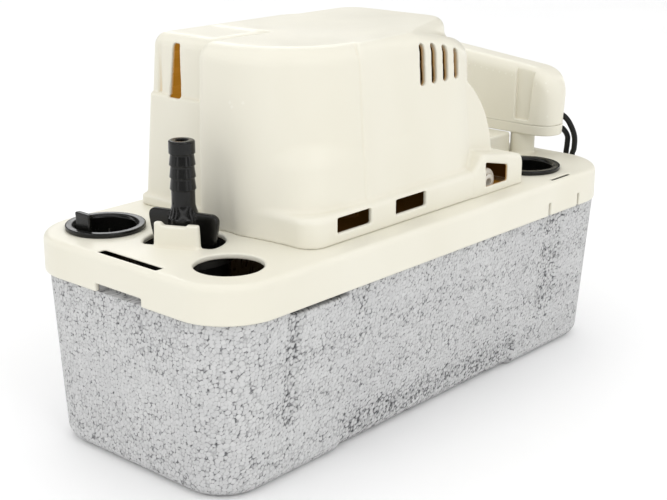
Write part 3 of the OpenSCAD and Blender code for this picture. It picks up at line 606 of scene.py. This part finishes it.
def foam_tank():
    """The tank as one skin. On the outside each bead is a low dome, with pits where three beads meet."""
    spacing = 0.42
    rings = tank_rings(spacing)
    points, normals, shows = [], [], []
    for length, width, corner, height, show in rings:
        plan, out = ring_points((length, width), corner, spacing)
        points.append(np.column_stack((plan, np.full(len(plan), height))))
        normals.append(np.column_stack((out, np.zeros(len(plan)))))
        shows.append(np.full(len(plan), show))
    around = len(points[0])
    points, normals, shows = np.concatenate(points), np.concatenate(normals), np.concatenate(shows)
    wall = np.abs(normals[:, 1]) > 0.95
    outer = np.repeat(np.array([ring[4] == 1.0 for ring in rings]), around)
    floor = points[:, 2] < 0.01
    sunk = np.where(wall & outer, groove_depth(points[:, 0], points[:, 2]), 0)
    notch = (np.abs(normals[:, 0]) > 0.95) & (np.abs(points[:, 1] + 0.9) < 14.5) & (points[:, 2] > TANK_TOP - 0.1)
    outside = np.abs(points[:, 0]) > LIP_SIZE[0] / 2 - 1
    sunk += np.where(notch & outside & ~outer, 3.2, 0)
    # shallow gap under the rim beside the near corner
    beside = ease(points[:, 0], -103, -98) * (1 - ease(points[:, 0], -70, -67)) * (points[:, 1] < 0)
    gap = np.where(wall & outer, beside * ease(points[:, 2], RIM_BOTTOM - 3.0, RIM_BOTTOM - 1.8), 0)
    sunk += 2.6 * gap
    tone, seam, pit = Beads(TANK_LOW, TANK_HIGH, 7).measure(points)
    dome = 0.07 * (1 - np.minimum(seam / 0.3, 1)) ** 2 + 0.26 * (1 - np.minimum(pit / 0.3, 1)) ** 2
    points = points - normals * (sunk + dome * shows)[:, None]
    points[:, 2] += np.where(floor, dome * 0.6, 0)
    total = len(rings)
    ring_start = np.arange(total - 1)[:, None] * around
    here = np.arange(around)[None, :]
    after = (here + 1) % around
    quads = np.stack(
        (ring_start + here, ring_start + after, ring_start + around + after, ring_start + around + here), -1
    ).reshape(-1, 4)
    quads = np.concatenate((quads[:, ::-1], *closing_quads(around, total)))
    tank = mesh_object("foam_tank_beads", points, quads[:, ::-1])
    add_attribute(tank, "tone", tone)
    add_attribute(tank, "seam", seam)
    # painted shade: the dark pits are spread wider where the walls are sunk, so the flutes, hollows and gaps read
    # darker
    add_attribute(tank, "pit", pit * (1 - 0.5 * np.clip(sunk, 0, 1)))
    # no light reaches into the gaps
    add_attribute(tank, "gap", np.maximum(0.8 * gap, notch * outside * ease(points[:, 2], TANK_TOP + 2.4, TANK_TOP + 3.4)))
    return stand_for(tank, "foam_tank", MATERIALS["bead_foam"])


def closing_quads(around, total):
    """Strips of quads that close the first and the last ring of the tank across its middle."""
    half = around // 2
    step = np.arange(half - 1)
    strips = []
    for start, outward in ((0, True), ((total - 1) * around, False)):
        strip = np.stack((step, step + 1, around - 2 - step, around - 1 - step), -1) + start
        strips.append(strip if outward else strip[:, ::-1])
    return strips


# ---------- deck ----------

def deck_outline(v):
    return rect(v.x, v.y, (DECK_LOW[0], DECK_HIGH[0]), (DECK_LOW[1], DECK_HIGH[1]), DECK_CORNERS)


def deck_solid(v):
    """Outer form of the deck and its upstands, then the hollow below and every opening."""
    x, y, z = v.x, v.y, v.z
    outline = deck_outline(v)
    solid = smooth_max(outline, z - DECK_TOP, 3.0)
    solid = smooth_max(solid, RIM_BOTTOM - z, 0.6)
    guard = guard_block(v)
    solid = smooth_min(solid, guard, 1.2)
    post = smooth_max(disc(x, y, POST, 6.35), z - TRAY_LOW[2], 0.4)
    solid = smooth_min(solid, np.maximum(post, DECK_TOP - 3 - z), 1.5)
    bolts = middle("motor_bolts")
    for side in (-1, 1):
        boss = np.maximum(disc(x, y, (bolts[0], bolts[1] + side * 27), 6.0), band(z, DECK_TOP - 3, TRAY_LOW[2]))
        solid = smooth_min(solid, boss, 1.0)
        solid = carve(solid, np.maximum(disc(x, y, (bolts[0], bolts[1] + side * 27), 2.02), 94 - z), 0.3)
    hollow = np.maximum(outline + DECK_WALL, z - (DECK_TOP - DECK_WALL))
    solid = carve(solid, hollow, 0.6)
    for inlet in (NEAR_INLET, REAR_PLUG, FAR_PLUG):
        solid = carve(solid, disc(x, y, inlet, INLET_R - 0.1), 0.6)
    along, _ = turned(x, y, VALVE, GUARD_TURN)
    outlet = smooth_max(disc(x, y, VALVE, 17.1), along - 8.4, 1.0)
    solid = carve(solid, np.maximum(outlet, z - DECK_TOP - 0.3 - 20 * (along < 7)), 0.6)
    solid = carve(solid, np.maximum(disc(x, y, POST, 3.5), 0 * z), 0.4)
    solid = carve(solid, np.maximum(disc(x, y, MOTOR, 8.0), 0 * z), 0.4)
    for x_range, y_range in (((-136.6, -132.6), (-21.4, 14.4)), ((84, 100.5), (-60, -58.2))):
        solid = carve(solid, rect(x, y, x_range, y_range, 0.5), 0.25)
        # the plate is thin round the slot
        pocket = rect(x, y, (x_range[0], x_range[1] + 6), (y_range[0], y_range[1] + 6), 0.5)
        solid = carve(solid, np.maximum(pocket, z - DECK_TOP + 0.9), 0.3)
    return rim_details(v, solid)


def guard_block(v):
    """Upright block in front of the check valve, with two small humps on top and a hollowed back."""
    along, across = turned(v.x, v.y, VALVE, GUARD_TURN)
    lean = 0.3 * ease(v.z, DECK_TOP, GUARD_TOP)
    top = GUARD_TOP - 0.9 * (1 - ease(np.abs(across + 0.5), 4.6, 6.0)) + 0.5 * ease(-across, 5, 7)
    plan = rect(along, across, (8.2, 11.4), (-9.4 + lean, 10.4 - lean), 0.9)
    return smooth_max(np.maximum(plan, DECK_TOP - DECK_WALL + 0.2 - v.z), v.z - top, 0.7)


def rim_details(v, solid):
    """Notches in the rim's ends, and the slits either side of each snap tab."""
    x, y, z = v.x, v.y, v.z
    for end in (DECK_LOW[0], DECK_HIGH[0]):
        notch = np.maximum(band(y, -14.9, 13.1), np.maximum(z - RIM_BOTTOM - 3.7, band(x, end - 5, end + 5)))
        solid = carve(solid, notch, 0.35)
    for place in (78.0, 103.5):
        slit = np.maximum(band(x, place - 0.95, place + 0.95), z - RIM_BOTTOM - 6.5)
        solid = carve(solid, np.maximum(slit, 55 - np.abs(y)), 0.3)
    corner = np.maximum(np.maximum(127.5 - x, y + 30), z - RIM_BOTTOM - 4.2)
    return carve(solid, corner, 0.35)


def deck():
    v = Volume(DECK_LOW, DECK_HIGH, 0.55)
    outer = np.maximum(deck_outline(v), v.z - DECK_TOP)
    obj = v.skin("deck_moulding", deck_solid(v), outer, DECK_WALL)
    return stand_for(obj, "deck", MATERIALS["cream_plastic"])


# ---------- motor cover ----------

def cover_body(v):
    """Tall body over the motor. Its roof falls away towards a wide round corner at the far end."""
    z = v.z
    draft = (z - 105) / 66
    far_x = 55 - 1.5 * draft
    near_y = -47.5 + 4 * draft
    plan = rect(v.x, v.y, (-42, far_x), (near_y, 46 - 1.5 * draft), (1, 33, 14, 1))
    fall = 0.19 * np.clip(v.x, 0, None)
    body = smooth_max(plan, z - COVER_HIGH[2] + fall, 8.0)
    # a flat cap keeps the roof level as far as a slanting edge
    turn = math.radians(-69)
    ahead, _ = turned(v.x, v.y, (-10, near_y), turn)
    cap = smooth_max(smooth_max(plan, ahead, 12.0), z - COVER_HIGH[2], 5.0)
    return smooth_min(body, cap, 2.5)


def cover_drum(v):
    """Round near end of the body. It stands proud of the tower beside it, with a soft edge."""
    z = v.z
    near_x = -83.3 + 1.8 * np.clip((z - DECK_TOP) / 79, 0, 1)
    near_y = -47.5 + 4 * (z - 105) / 66
    plan = smooth_max(smooth_max(near_x - v.x, near_y - v.y, 40.0), v.y - 14.8, 7.5)
    return smooth_max(np.maximum(plan, v.x + 20), z - COVER_HIGH[2], 8.0)


def cover_lobe(v):
    """Squarer flared corner at the foot of the drum, which fades into it at mid height."""
    lean = 0.17 * (v.z - 93)
    plan = rect(v.x, v.y, (-79.5 + lean, 0), (-45.8 + 0.045 * (v.z - 93), 0), 15.5)
    return smooth_max(plan, v.z - 131, 9.0)


def cover_tower(v):
    """Narrow tower beside the drum. Above a ledge its end face steps in."""
    z = v.z
    rise = (z - 104) / 63
    step = 1.5 * ease(z, 143.4, 144.4)
    far_y = 57.0 - 5.4 * np.clip((z - DECK_TOP) / 78, 0, 1)
    plan = rect(v.x, v.y, (-75.5 + 2.0 * rise + step, 12), (12, far_y), 5.0)
    tower = smooth_max(plan, z - COVER_HIGH[2] + 0.6, 6.0)
    flange = np.maximum(rect(v.x, v.y, (-77.4, 0), (16, 58.2), 5.0), z - 97)
    return smooth_min(tower, flange, 2.0)


def cover_shoulder(v):
    """Quarter-round shoulder beyond the body's far end."""
    drum = np.hypot(v.x - 6, v.z - 104) - 51.4
    return smooth_max(smooth_max(drum, band(v.y, -42.5, 45), 1.5), -v.x, 1.0)


def cover_skirt(v):
    """Low skirt along the near side, and the bridge towards the switch box."""
    x, y, z = v.x, v.y, v.z
    skirt = smooth_max(rect(x, y, (-80, 72.3), (-51.5, -10), (9, 4, 4, 9)), z - 105.5, 3.0)
    hood = smooth_max(rect(x, y, (30, 72.3), (-51.5, -10), (2, 4, 4, 2)), (z - 112.5) + 0.17 * (x - 38), 2.5)
    hood = smooth_max(hood, (z - 105) * 0.7 - (x - 31) * 0.72, 2.0)
    skirt = smooth_min(skirt, smooth_max(hood, x - 72.3, 4.0), 0.8)
    bridge = smooth_max(rect(x, y, (40, 119.2), (-11.3, 46), 1.5), z - 103.7, 1.2)
    wide = smooth_max(rect(x, y, (100, 134), (26, 44), 1.5), z - 103.7, 1.2)
    bridge = carve(smooth_min(bridge, wide, 1.0), disc(x, y, POST, 7.4), 0.5)
    return skirt, bridge


def cover_outer(v):
    """Outer form of the whole motor cover."""
    form = np.minimum(cover_body(v), cover_drum(v))
    form = smooth_min(form, cover_tower(v), 2.5)
    form = smooth_min(form, cover_lobe(v), 5.0)
    form = smooth_min(form, cover_shoulder(v), 1.0)
    skirt, bridge = cover_skirt(v)
    form = smooth_min(form, skirt, 2.2)
    form = smooth_min(form, bridge, 1.5)
    # soft valley in the flank, deepest at the foot
    valley = 0.8 * np.exp(-((v.y + 6.8) / 3.2) ** 2) * (1 - ease(v.z, 94, 132)) * (v.x < -60)
    return np.maximum(form + valley, v.z - COVER_HIGH[2])


def cover_wall(v):
    """Depth of the cover's wall, which is thicker round the vents."""
    return 2.3 + 0.7 * ease(v.z, 140, 145) * (1 - ease(v.y, -38, -34)) * ease(v.x, -9, -6)


def cover_openings(v, form):
    """Vents near the roof, the tapered slot and the groove of the tower, and the windows of the skirt."""
    x, y, z = v.x, v.y, v.z
    tops = (167.0, 166.2, 164.6, 162.3)
    for i, top in enumerate(tops):
        left = -2.2 + 8.15 * i
        slot = rect(x, z, (left, left + 3.9), (148.7, top), 1.9)
        form = carve(form, np.maximum(slot, y + 34), 0.5)
    half_low, half_high = (32.4, 39.6), (33.3, 37.4)
    share = np.clip((z - 144) / 24, 0, 1)
    low_side = half_low[0] + (half_high[0] - half_low[0]) * share
    high_side = half_low[1] + (half_high[1] - half_low[1]) * share
    tapered = smooth_max(band(y, low_side, high_side), band(z, 143.4, 167), 0.8)
    form = carve(form, np.maximum(tapered, x + 60), 0.7)
    groove = np.maximum(band(y, 44.8, 47.4), np.maximum(144.5 - z, x + 71.6))
    form = carve(form, smooth_max(groove, z - 175, 0.5), 0.5)
    for low, high, bottom, top, fall in ((-64, -42.5, 97, 103.6, 0), (-26, -5, 97, 103.6, 0), (40, 57.5, 96.4, 108, 0.22)):
        window = smooth_max(band(x, low, high), band(z, bottom, top - fall * (x - low)), 0.8)
        form = carve(form, np.maximum(window, y + 46), 0.45)
    return form


def motor_cover():
    v = Volume(COVER_LOW, COVER_HIGH + (0, 3, 0), 0.55)
    outer = cover_outer(v)
    shell = np.maximum(outer, COVER_LOW[2] - v.z)
    wall = cover_wall(v)
    shell = np.maximum(shell, -np.maximum(outer + wall, v.z - COVER_HIGH[2] + 2.3))
    obj = v.skin("motor_cover_moulding", cover_openings(v, shell), outer, wall)
    return stand_for(obj, "motor_cover", MATERIALS["cream_plastic"])


# ---------- switch box ----------

def box_plan(v):
    """Long rounded plan of the switch box, whose near end leans in towards its foot."""
    lean = 0.095 * np.clip(135 - v.z, 0, None)
    y = np.clip(v.y, BOX_LOW[1] + BOX_R + lean, BOX_HIGH[1] - BOX_R)
    return np.hypot(v.x - BOX_X, v.y - y) - BOX_R


def switch_cover():
    """Tall cover whose top falls towards its near end and rolls over there; a panel stands out of its side."""
    v = Volume(BOX_LOW, BOX_HIGH, 0.4)
    x, y, z = v.x, v.y, v.z
    fall = math.tan(math.radians(5.8))
    top = (z - (BOX_HIGH[2] - 0.2 - fall * (BOX_HIGH[1] - y))) * math.cos(math.radians(5.8))
    outer = smooth_max(box_plan(v), smooth_max(top, BOX_LOW[1] - y, 16.0), 6.0)
    recess = np.maximum(band(y, -22.0 - 0.1 * (z - 110), -13.8), x - BOX_LOW[0] - 1.7)
    outer = carve(outer, smooth_max(recess, 111.5 - z, 0.5), 0.5)
    shell = np.maximum(outer, BOX_LOW[2] - z)
    shell = np.maximum(shell, -(outer + 2.0))
    along, aside = turned(x, y, (133.0, -31.0), math.radians(-37.4))
    lead_hole = np.maximum(np.hypot(aside, z - 114.3) - 1.75, -along - 6)
    slit = np.maximum(np.maximum(band(y, -31.5, -30.5), band(z, 114.3, 124)), BOX_X + 4 - x)
    shell = carve(carve(shell, lead_hole, 0.3), slit, 0.3)
    obj = v.skin("switch_cover_moulding", shell, outer, 2.0)
    return stand_for(obj, "switch_cover", MATERIALS["cream_plastic"])


def switch_tray():
    v = Volume(TRAY_LOW, TRAY_HIGH, 0.4)
    x, y, z = v.x, v.y, v.z
    rim_top = BOX_LOW[2] - 0.05
    plan = box_plan(v)
    outer = smooth_max(np.maximum(plan, z - rim_top), TRAY_LOW[2] - z, 0.5)
    tray = np.maximum(outer, -np.maximum(plan + 2.0, TRAY_LOW[2] + 2 - z))
    lever = box_mm("switch_lever")
    pin = middle("lever_pin")
    for wall in ((lever[0][0] - 1.6, lever[0][0] - 0.2), (lever[1][0] + 0.2, lever[1][0] + 1.6)):
        ear = np.maximum(band(x, *wall), np.maximum(band(y, pin[1] - 3.5, pin[1] + 3.5), z - TRAY_HIGH[2]))
        tray = np.minimum(tray, np.maximum(ear, TRAY_LOW[2] + 1 - z))
    tray = np.maximum(tray, 1.55 - np.hypot(y - pin[1], z - pin[2]) + 0 * x)
    along, aside = turned(x, y, (133.0, -31.0), math.radians(-10))
    tray = carve(tray, np.maximum(np.hypot(aside, z - 106.9) - 1.75, -along - 6), 0.3)
    for hole in (POST, (127.5, 35.0)):
        tray = carve(tray, disc(x, y, hole, 2.5 if hole is POST else 3.5) + 0 * z, 0.3)
    rib = smooth_max(rect(x, y, (BOX_LOW[0], BOX_LOW[0] + 2), (-4, -2), 0.4), z - rim_top, 0.3)
    tray = np.minimum(tray, np.maximum(rib, TRAY_LOW[2] + 0.5 - z))
    obj = v.skin("switch_tray_moulding", tray, outer, 2.0)
    return stand_for(obj, "switch_tray", MATERIALS["cream_plastic"])


# ---------- plugs and check valve ----------

def inlet_plug(node, name):
    """Push-in cup with a wide flange, a raised inner lip and an upright pull tab."""
    low, high = box_mm(node)
    centre = (low + high) / 2
    v = Volume(low, high, 0.3)
    x, y, z = v.x, v.y, v.z
    r = np.hypot(x - centre[0], y - centre[1])
    flange = smooth_max(r - 17.2, band(z, DECK_TOP + 0.05, DECK_TOP + 2.2), 0.55)
    skirt = smooth_max(r - 14.15, band(z, low[2], DECK_TOP + 1), 0.4)
    cup = smooth_min(flange, skirt, 0.3)
    chamfer = np.clip(z - DECK_TOP - 0.9, 0, 1.4) * 0.8
    hollow = np.maximum(r - 13.0 + 0.04 * (DECK_TOP - z) - chamfer, low[2] + 1.5 - z)
    cup = carve(cup, hollow, 0.6)
    tab_x = centre[0] - 11.5
    tab = smooth_max(rect(x, y, (tab_x - 0.9, tab_x + 0.9), (centre[1] - 4.5, centre[1] + 4.5), 0.5), z - high[2], 0.5)
    lip = smooth_max(rect(x, y, (tab_x - 0.9, tab_x + 1.7), (centre[1] - 4.5, centre[1] + 4.5), 0.5),
                     band(z, high[2] - 1.8, high[2]), 0.45)
    slot = smooth_max(band(y, centre[1] - 2.4, centre[1] + 2.4), band(z, high[2] - 3.6, high[2] - 2.7), 0.3)
    tab = carve(smooth_min(tab, lip, 0.4), np.maximum(slot, tab_x + 0.4 - x), 0.2)
    cup = smooth_min(cup, np.maximum(tab, low[2] + 0.6 - z), 0.4)
    obj = v.skin(name, cup)
    return stand_for(obj, node, MATERIALS["black_plastic"])


def barb_radius(z, tip):
    """Radius of the hose barb by height: a spigot, a flare, three sawtooth barbs and the land at the tip."""
    root, widest, flare = 4.95, 5.5, 6.6
    radius = np.where(z < 97.3, 7.5, flare)
    radius = np.where(z > 103.0, flare - (flare - root) * ease(z, 101.6, 109.0), radius)
    radius = np.where(z > 108.5, root, radius)
    for step in (14.6, 9.6, 4.6):
        bottom = tip - 5.9 - step
        tooth = widest - (z - bottom) * (widest - root) / 4.4
        radius = np.where((z > bottom) & (z < bottom + 5), np.maximum(tooth, root), radius)
    return np.where(z > tip - 5.5, widest, radius)


def check_valve():
    low, high = box_mm("check_valve_body")
    v = Volume(low, high, 0.22)
    x, y, z = v.x, v.y, v.z
    r = np.hypot(x - VALVE[0], y - VALVE[1])
    body = smooth_max((r - barb_radius(z, high[2])) * 0.9, z - high[2], 0.9)
    body = np.maximum(body, low[2] - z)
    along, across = turned(x, y, VALVE, WING_TURN)
    reach = np.abs(along)
    # outline of a wing: a straight top, a round outer end, and a lower edge that slants in to the foot
    plan = smooth_max(smooth_max(reach - 17.0, z - 105.4, 3.8), 86.5 - z, 1.0)
    slant = ((reach - 12.6) * 11.5 - (z - 86.5) * 4.1) / math.hypot(11.5, 4.1)
    wing = smooth_max(smooth_max(plan, slant, 3.0), np.abs(across) - 1.2, 0.6)
    body = smooth_min(body, np.maximum(wing, 4 - reach), 0.9)
    body = carve(body, np.maximum(r - 2.6, 80 - z), 0.5)
    body = carve(body, np.maximum(r - 5.2, z - 86), 0.3)
    groove = np.maximum(6.3 - r, band(z, 73.4, 74.8))
    body = np.maximum(body, -groove)
    obj = v.skin("check_valve_barb", body)
    return stand_for(obj, "check_valve_body", MATERIALS["black_plastic"])


def wire_bushing():
    """Round boss behind the far window, with a raised collar round its bore."""
    low, high = box_mm("wire_bushing")
    v = Volume(low, high, 0.3)
    centre = (middle("wire_bushing")[0], high[2] - 6.7)
    r = np.hypot(v.x - centre[0], v.z - centre[1])
    boss = smooth_max(r - 6.7, low[1] + 1.5 - v.y, 0.8)
    boss = smooth_min(boss, smooth_max(r - 4.1, low[1] - v.y, 0.5), 0.4)
    boss = carve(np.maximum(boss, v.y - high[1]), r - 1.9, 0.3)
    obj = v.skin("wire_bushing_boss", np.maximum(boss, low[2] - v.z))
    return stand_for(obj, "wire_bushing", MATERIALS["white_nylon"])


# ---------- leads ----------

def smooth_path(corners, samples):
    """Points on a Catmull-Rom curve through the corners."""
    knots = np.array([2 * corners[0] - corners[1], *corners, 2 * corners[-1] - corners[-2]])
    path = []
    for i in range(1, len(knots) - 2):
        a, b, c, d = knots[i - 1:i + 3]
        for t in np.linspace(0, 1, samples, endpoint=False):
            path.append(0.5 * (2 * b + (c - a) * t + (2 * a - 5 * b + 4 * c - d) * t ** 2
                               + (3 * b - a - 3 * c + d) * t ** 3))
    path.append(knots[-2])
    return np.array(path)


def cable(name, corners, r, sides=28, samples=24):
    """Round bar along a smooth path, with closed ends."""
    path = smooth_path([np.array(c, float) for c in corners], samples)
    tangents = np.gradient(path, axis=0)
    tangents /= np.linalg.norm(tangents, axis=1)[:, None]
    side = np.cross(tangents[0], (0.0, 0.0, 1.0) if abs(tangents[0][2]) < 0.9 else (1.0, 0.0, 0.0))
    angles = np.linspace(0, 2 * math.pi, sides, endpoint=False)
    rings = []
    for centre, tangent in zip(path, tangents):
        side = side - tangent * np.dot(side, tangent)
        side /= np.linalg.norm(side)
        other = np.cross(tangent, side)
        rings.append(centre + r * (np.outer(np.cos(angles), side) + np.outer(np.sin(angles), other)))
    around = np.arange(sides)
    starts = np.arange(len(path) - 1)[:, None] * sides
    quads = np.stack((starts + around, starts + (around + 1) % sides,
                      starts + sides + (around + 1) % sides, starts + sides + around), -1).reshape(-1, 4)
    half = np.arange(sides // 2 - 1)
    cap = np.stack((half, sides - 1 - half, sides - 2 - half, half + 1), -1)
    last = (len(path) - 1) * sides
    return mesh_object(name, np.concatenate(rings), np.concatenate((quads, cap, cap[:, ::-1] + last)))


def leads():
    for node, height, bow, inward in (("upper_lead", 114.3, 3.2, 1.0), ("lower_lead", 106.9, 1.2, 0.4)):
        low, high = box_mm(node)
        hang = np.array((high[0] - 1.45, middle_hang(node), low[2]))
        start = np.array((132.5, -29.0, height))
        corners = (
            start,
            start + (hang - start) * (0.3, 0.3, 0) + (0, 0, -0.3 * bow),
            start + (hang - start) * (0.62, 0.62, 0) + (0, 0, -1.5 * bow),
            (hang[0] - 0.8 * inward, hang[1] + inward, height - 3.2 * bow - 2),
            (hang[0] - 0.6 * inward, hang[1] + 0.8 * inward, height - 4.4 * bow - 5),
            (hang[0] - inward, hang[1] + 1.6 * inward, 90),
            hang,
        )
        stand_for(cable(node + "_sheath", corners, 1.45), node, MATERIALS["black_rubber"])


def middle_hang(node):
    """Y at which a lead hangs: the one of its lowest vertices."""
    mesh = frame["nodes"][node].data
    points = np.array([vertex.co for vertex in mesh.vertices]) / MM
    return points[points[:, 2] < points[:, 2].min() + 0.01][:, 1].mean()


# ---------- pieces carried over from the CAD ----------

def carry_over(names, edge):
    """Keeps CAD nodes as they are, with their own slot's material, rounded edges and smooth sides."""
    for name in names:
        node = frame["nodes"][name]
        node.data.materials.clear()
        node.data.materials.append(MATERIALS[SLOT_OF[name]])
        bevel = node.modifiers.new("edge", "BEVEL")
        bevel.width = edge * MM
        bevel.segments = 2
        bevel.limit_method = "ANGLE"
        bevel.angle_limit = math.radians(35)
        bevel.harden_normals = True
        node.data.shade_smooth()


def internals(shown):
    """Every CAD node that no other piece stands for is carried over."""
    rest = sorted(set(frame["nodes"]) - shown)
    carry_over(rest, 0.15)


# ---------- stage ----------

def stage():
    """Pale floor, white surroundings and broad soft lights."""
    bpy.ops.mesh.primitive_plane_add(size=9.0, location=(0, 0, 0))
    floor = bpy.context.object
    floor.name = "floor"
    f = Finish("floor", 0.7)
    f.colour(f.blend(f.spread(f.noise(300, 2), 0.4, 0.6), (0.9, 0.9, 0.9), (0.92, 0.92, 0.92)))
    floor.data.materials.append(f.material)

    world = bpy.data.worlds.new("studio")
    world.use_nodes = True
    nodes, links = world.node_tree.nodes, world.node_tree.links
    white = nodes["Background"]
    white.inputs["Color"].default_value = (1.0, 1.0, 1.0, 1.0)
    white.inputs["Strength"].default_value = 1.07
    # shiny faces mirror bright strips with dark gaps between them, as they would among softboxes
    direction = nodes.new("ShaderNodeTexCoord")
    strips = nodes.new("ShaderNodeTexWave")
    strips.bands_direction = "DIAGONAL"
    strips.inputs["Scale"].default_value = 0.9
    strips.inputs["Distortion"].default_value = 1.5
    strips.inputs["Detail"].default_value = 0.0
    links.new(direction.outputs["Generated"], strips.inputs["Vector"])
    ramp = nodes.new("ShaderNodeMapRange")
    for name, value in (("From Min", 0.74), ("From Max", 0.96), ("To Min", 0.1), ("To Max", 3.4)):
        ramp.inputs[name].default_value = value
    links.new(strips.outputs["Fac"], ramp.inputs["Value"])
    mirrored = nodes.new("ShaderNodeBackground")
    links.new(ramp.outputs["Result"], mirrored.inputs["Strength"])
    path = nodes.new("ShaderNodeLightPath")
    mix = nodes.new("ShaderNodeMixShader")
    links.new(path.outputs["Is Glossy Ray"], mix.inputs[0])
    links.new(white.outputs[0], mix.inputs[1])
    links.new(mirrored.outputs[0], mix.inputs[2])
    links.new(mix.outputs[0], nodes["World Output"].inputs["Surface"])
    bpy.context.scene.world = world
    bpy.context.scene.view_settings.view_transform = "Standard"

    panel("key", (-0.35, -1.5, 1.3), 0.8, 4.5)
    panel("side", (-1.7, 0.2, 1.0), 0.5, 2.0)
    panel("top", (0.1, 0.2, 1.9), 1.0, 2.2)


def panel(name, place, size, power):
    """Square soft light that faces the pump."""
    light = bpy.data.lights.new(name, "AREA")
    light.size = size
    light.energy = power
    obj = bpy.data.objects.new(name, light)
    obj.location = place
    obj.rotation_euler = (Vector((0, 0, 0.08)) - Vector(place)).to_track_quat("-Z", "Y").to_euler()
    bpy.context.scene.collection.objects.link(obj)


def camera():
    """Camera at the viewing angle: turned round the pump's near corner and looking a little down."""
    azimuth, elevation, roll = (math.radians(a) for a in (-48.44, 17.59, 0.12))
    back = Vector((math.sin(azimuth) * math.cos(elevation), -math.cos(azimuth) * math.cos(elevation),
                   math.sin(elevation)))
    right = Vector((math.cos(azimuth), math.sin(azimuth), 0))
    up = back.cross(right)
    right, up = right * math.cos(roll) + up * math.sin(roll), up * math.cos(roll) - right * math.sin(roll)
    data = bpy.data.cameras.new("camera")
    data.lens = 72.14
    data.sensor_width = 36.0
    data.clip_end = 30.0
    obj = bpy.data.objects.new("camera", data)
    place = Vector((-458.4, -398.6, 256.7)) * MM
    obj.matrix_world = Matrix.Translation(place) @ Matrix((right, up, back)).transposed().to_4x4()
    bpy.context.scene.collection.objects.link(obj)
    bpy.context.scene.camera = obj


foam_tank()
deck()
motor_cover()
switch_cover()
switch_tray()
inlet_plug("rear_inlet_plug", "rear_plug_cup")
inlet_plug("far_inlet_plug", "far_plug_cup")
check_valve()
wire_bushing()
leads()
internals({
    "foam_tank", "deck", "motor_cover", "switch_cover", "switch_tray", "rear_inlet_plug", "far_inlet_plug",
    "check_valve_body", "wire_bushing", "upper_lead", "lower_lead",
})
stage()
camera()
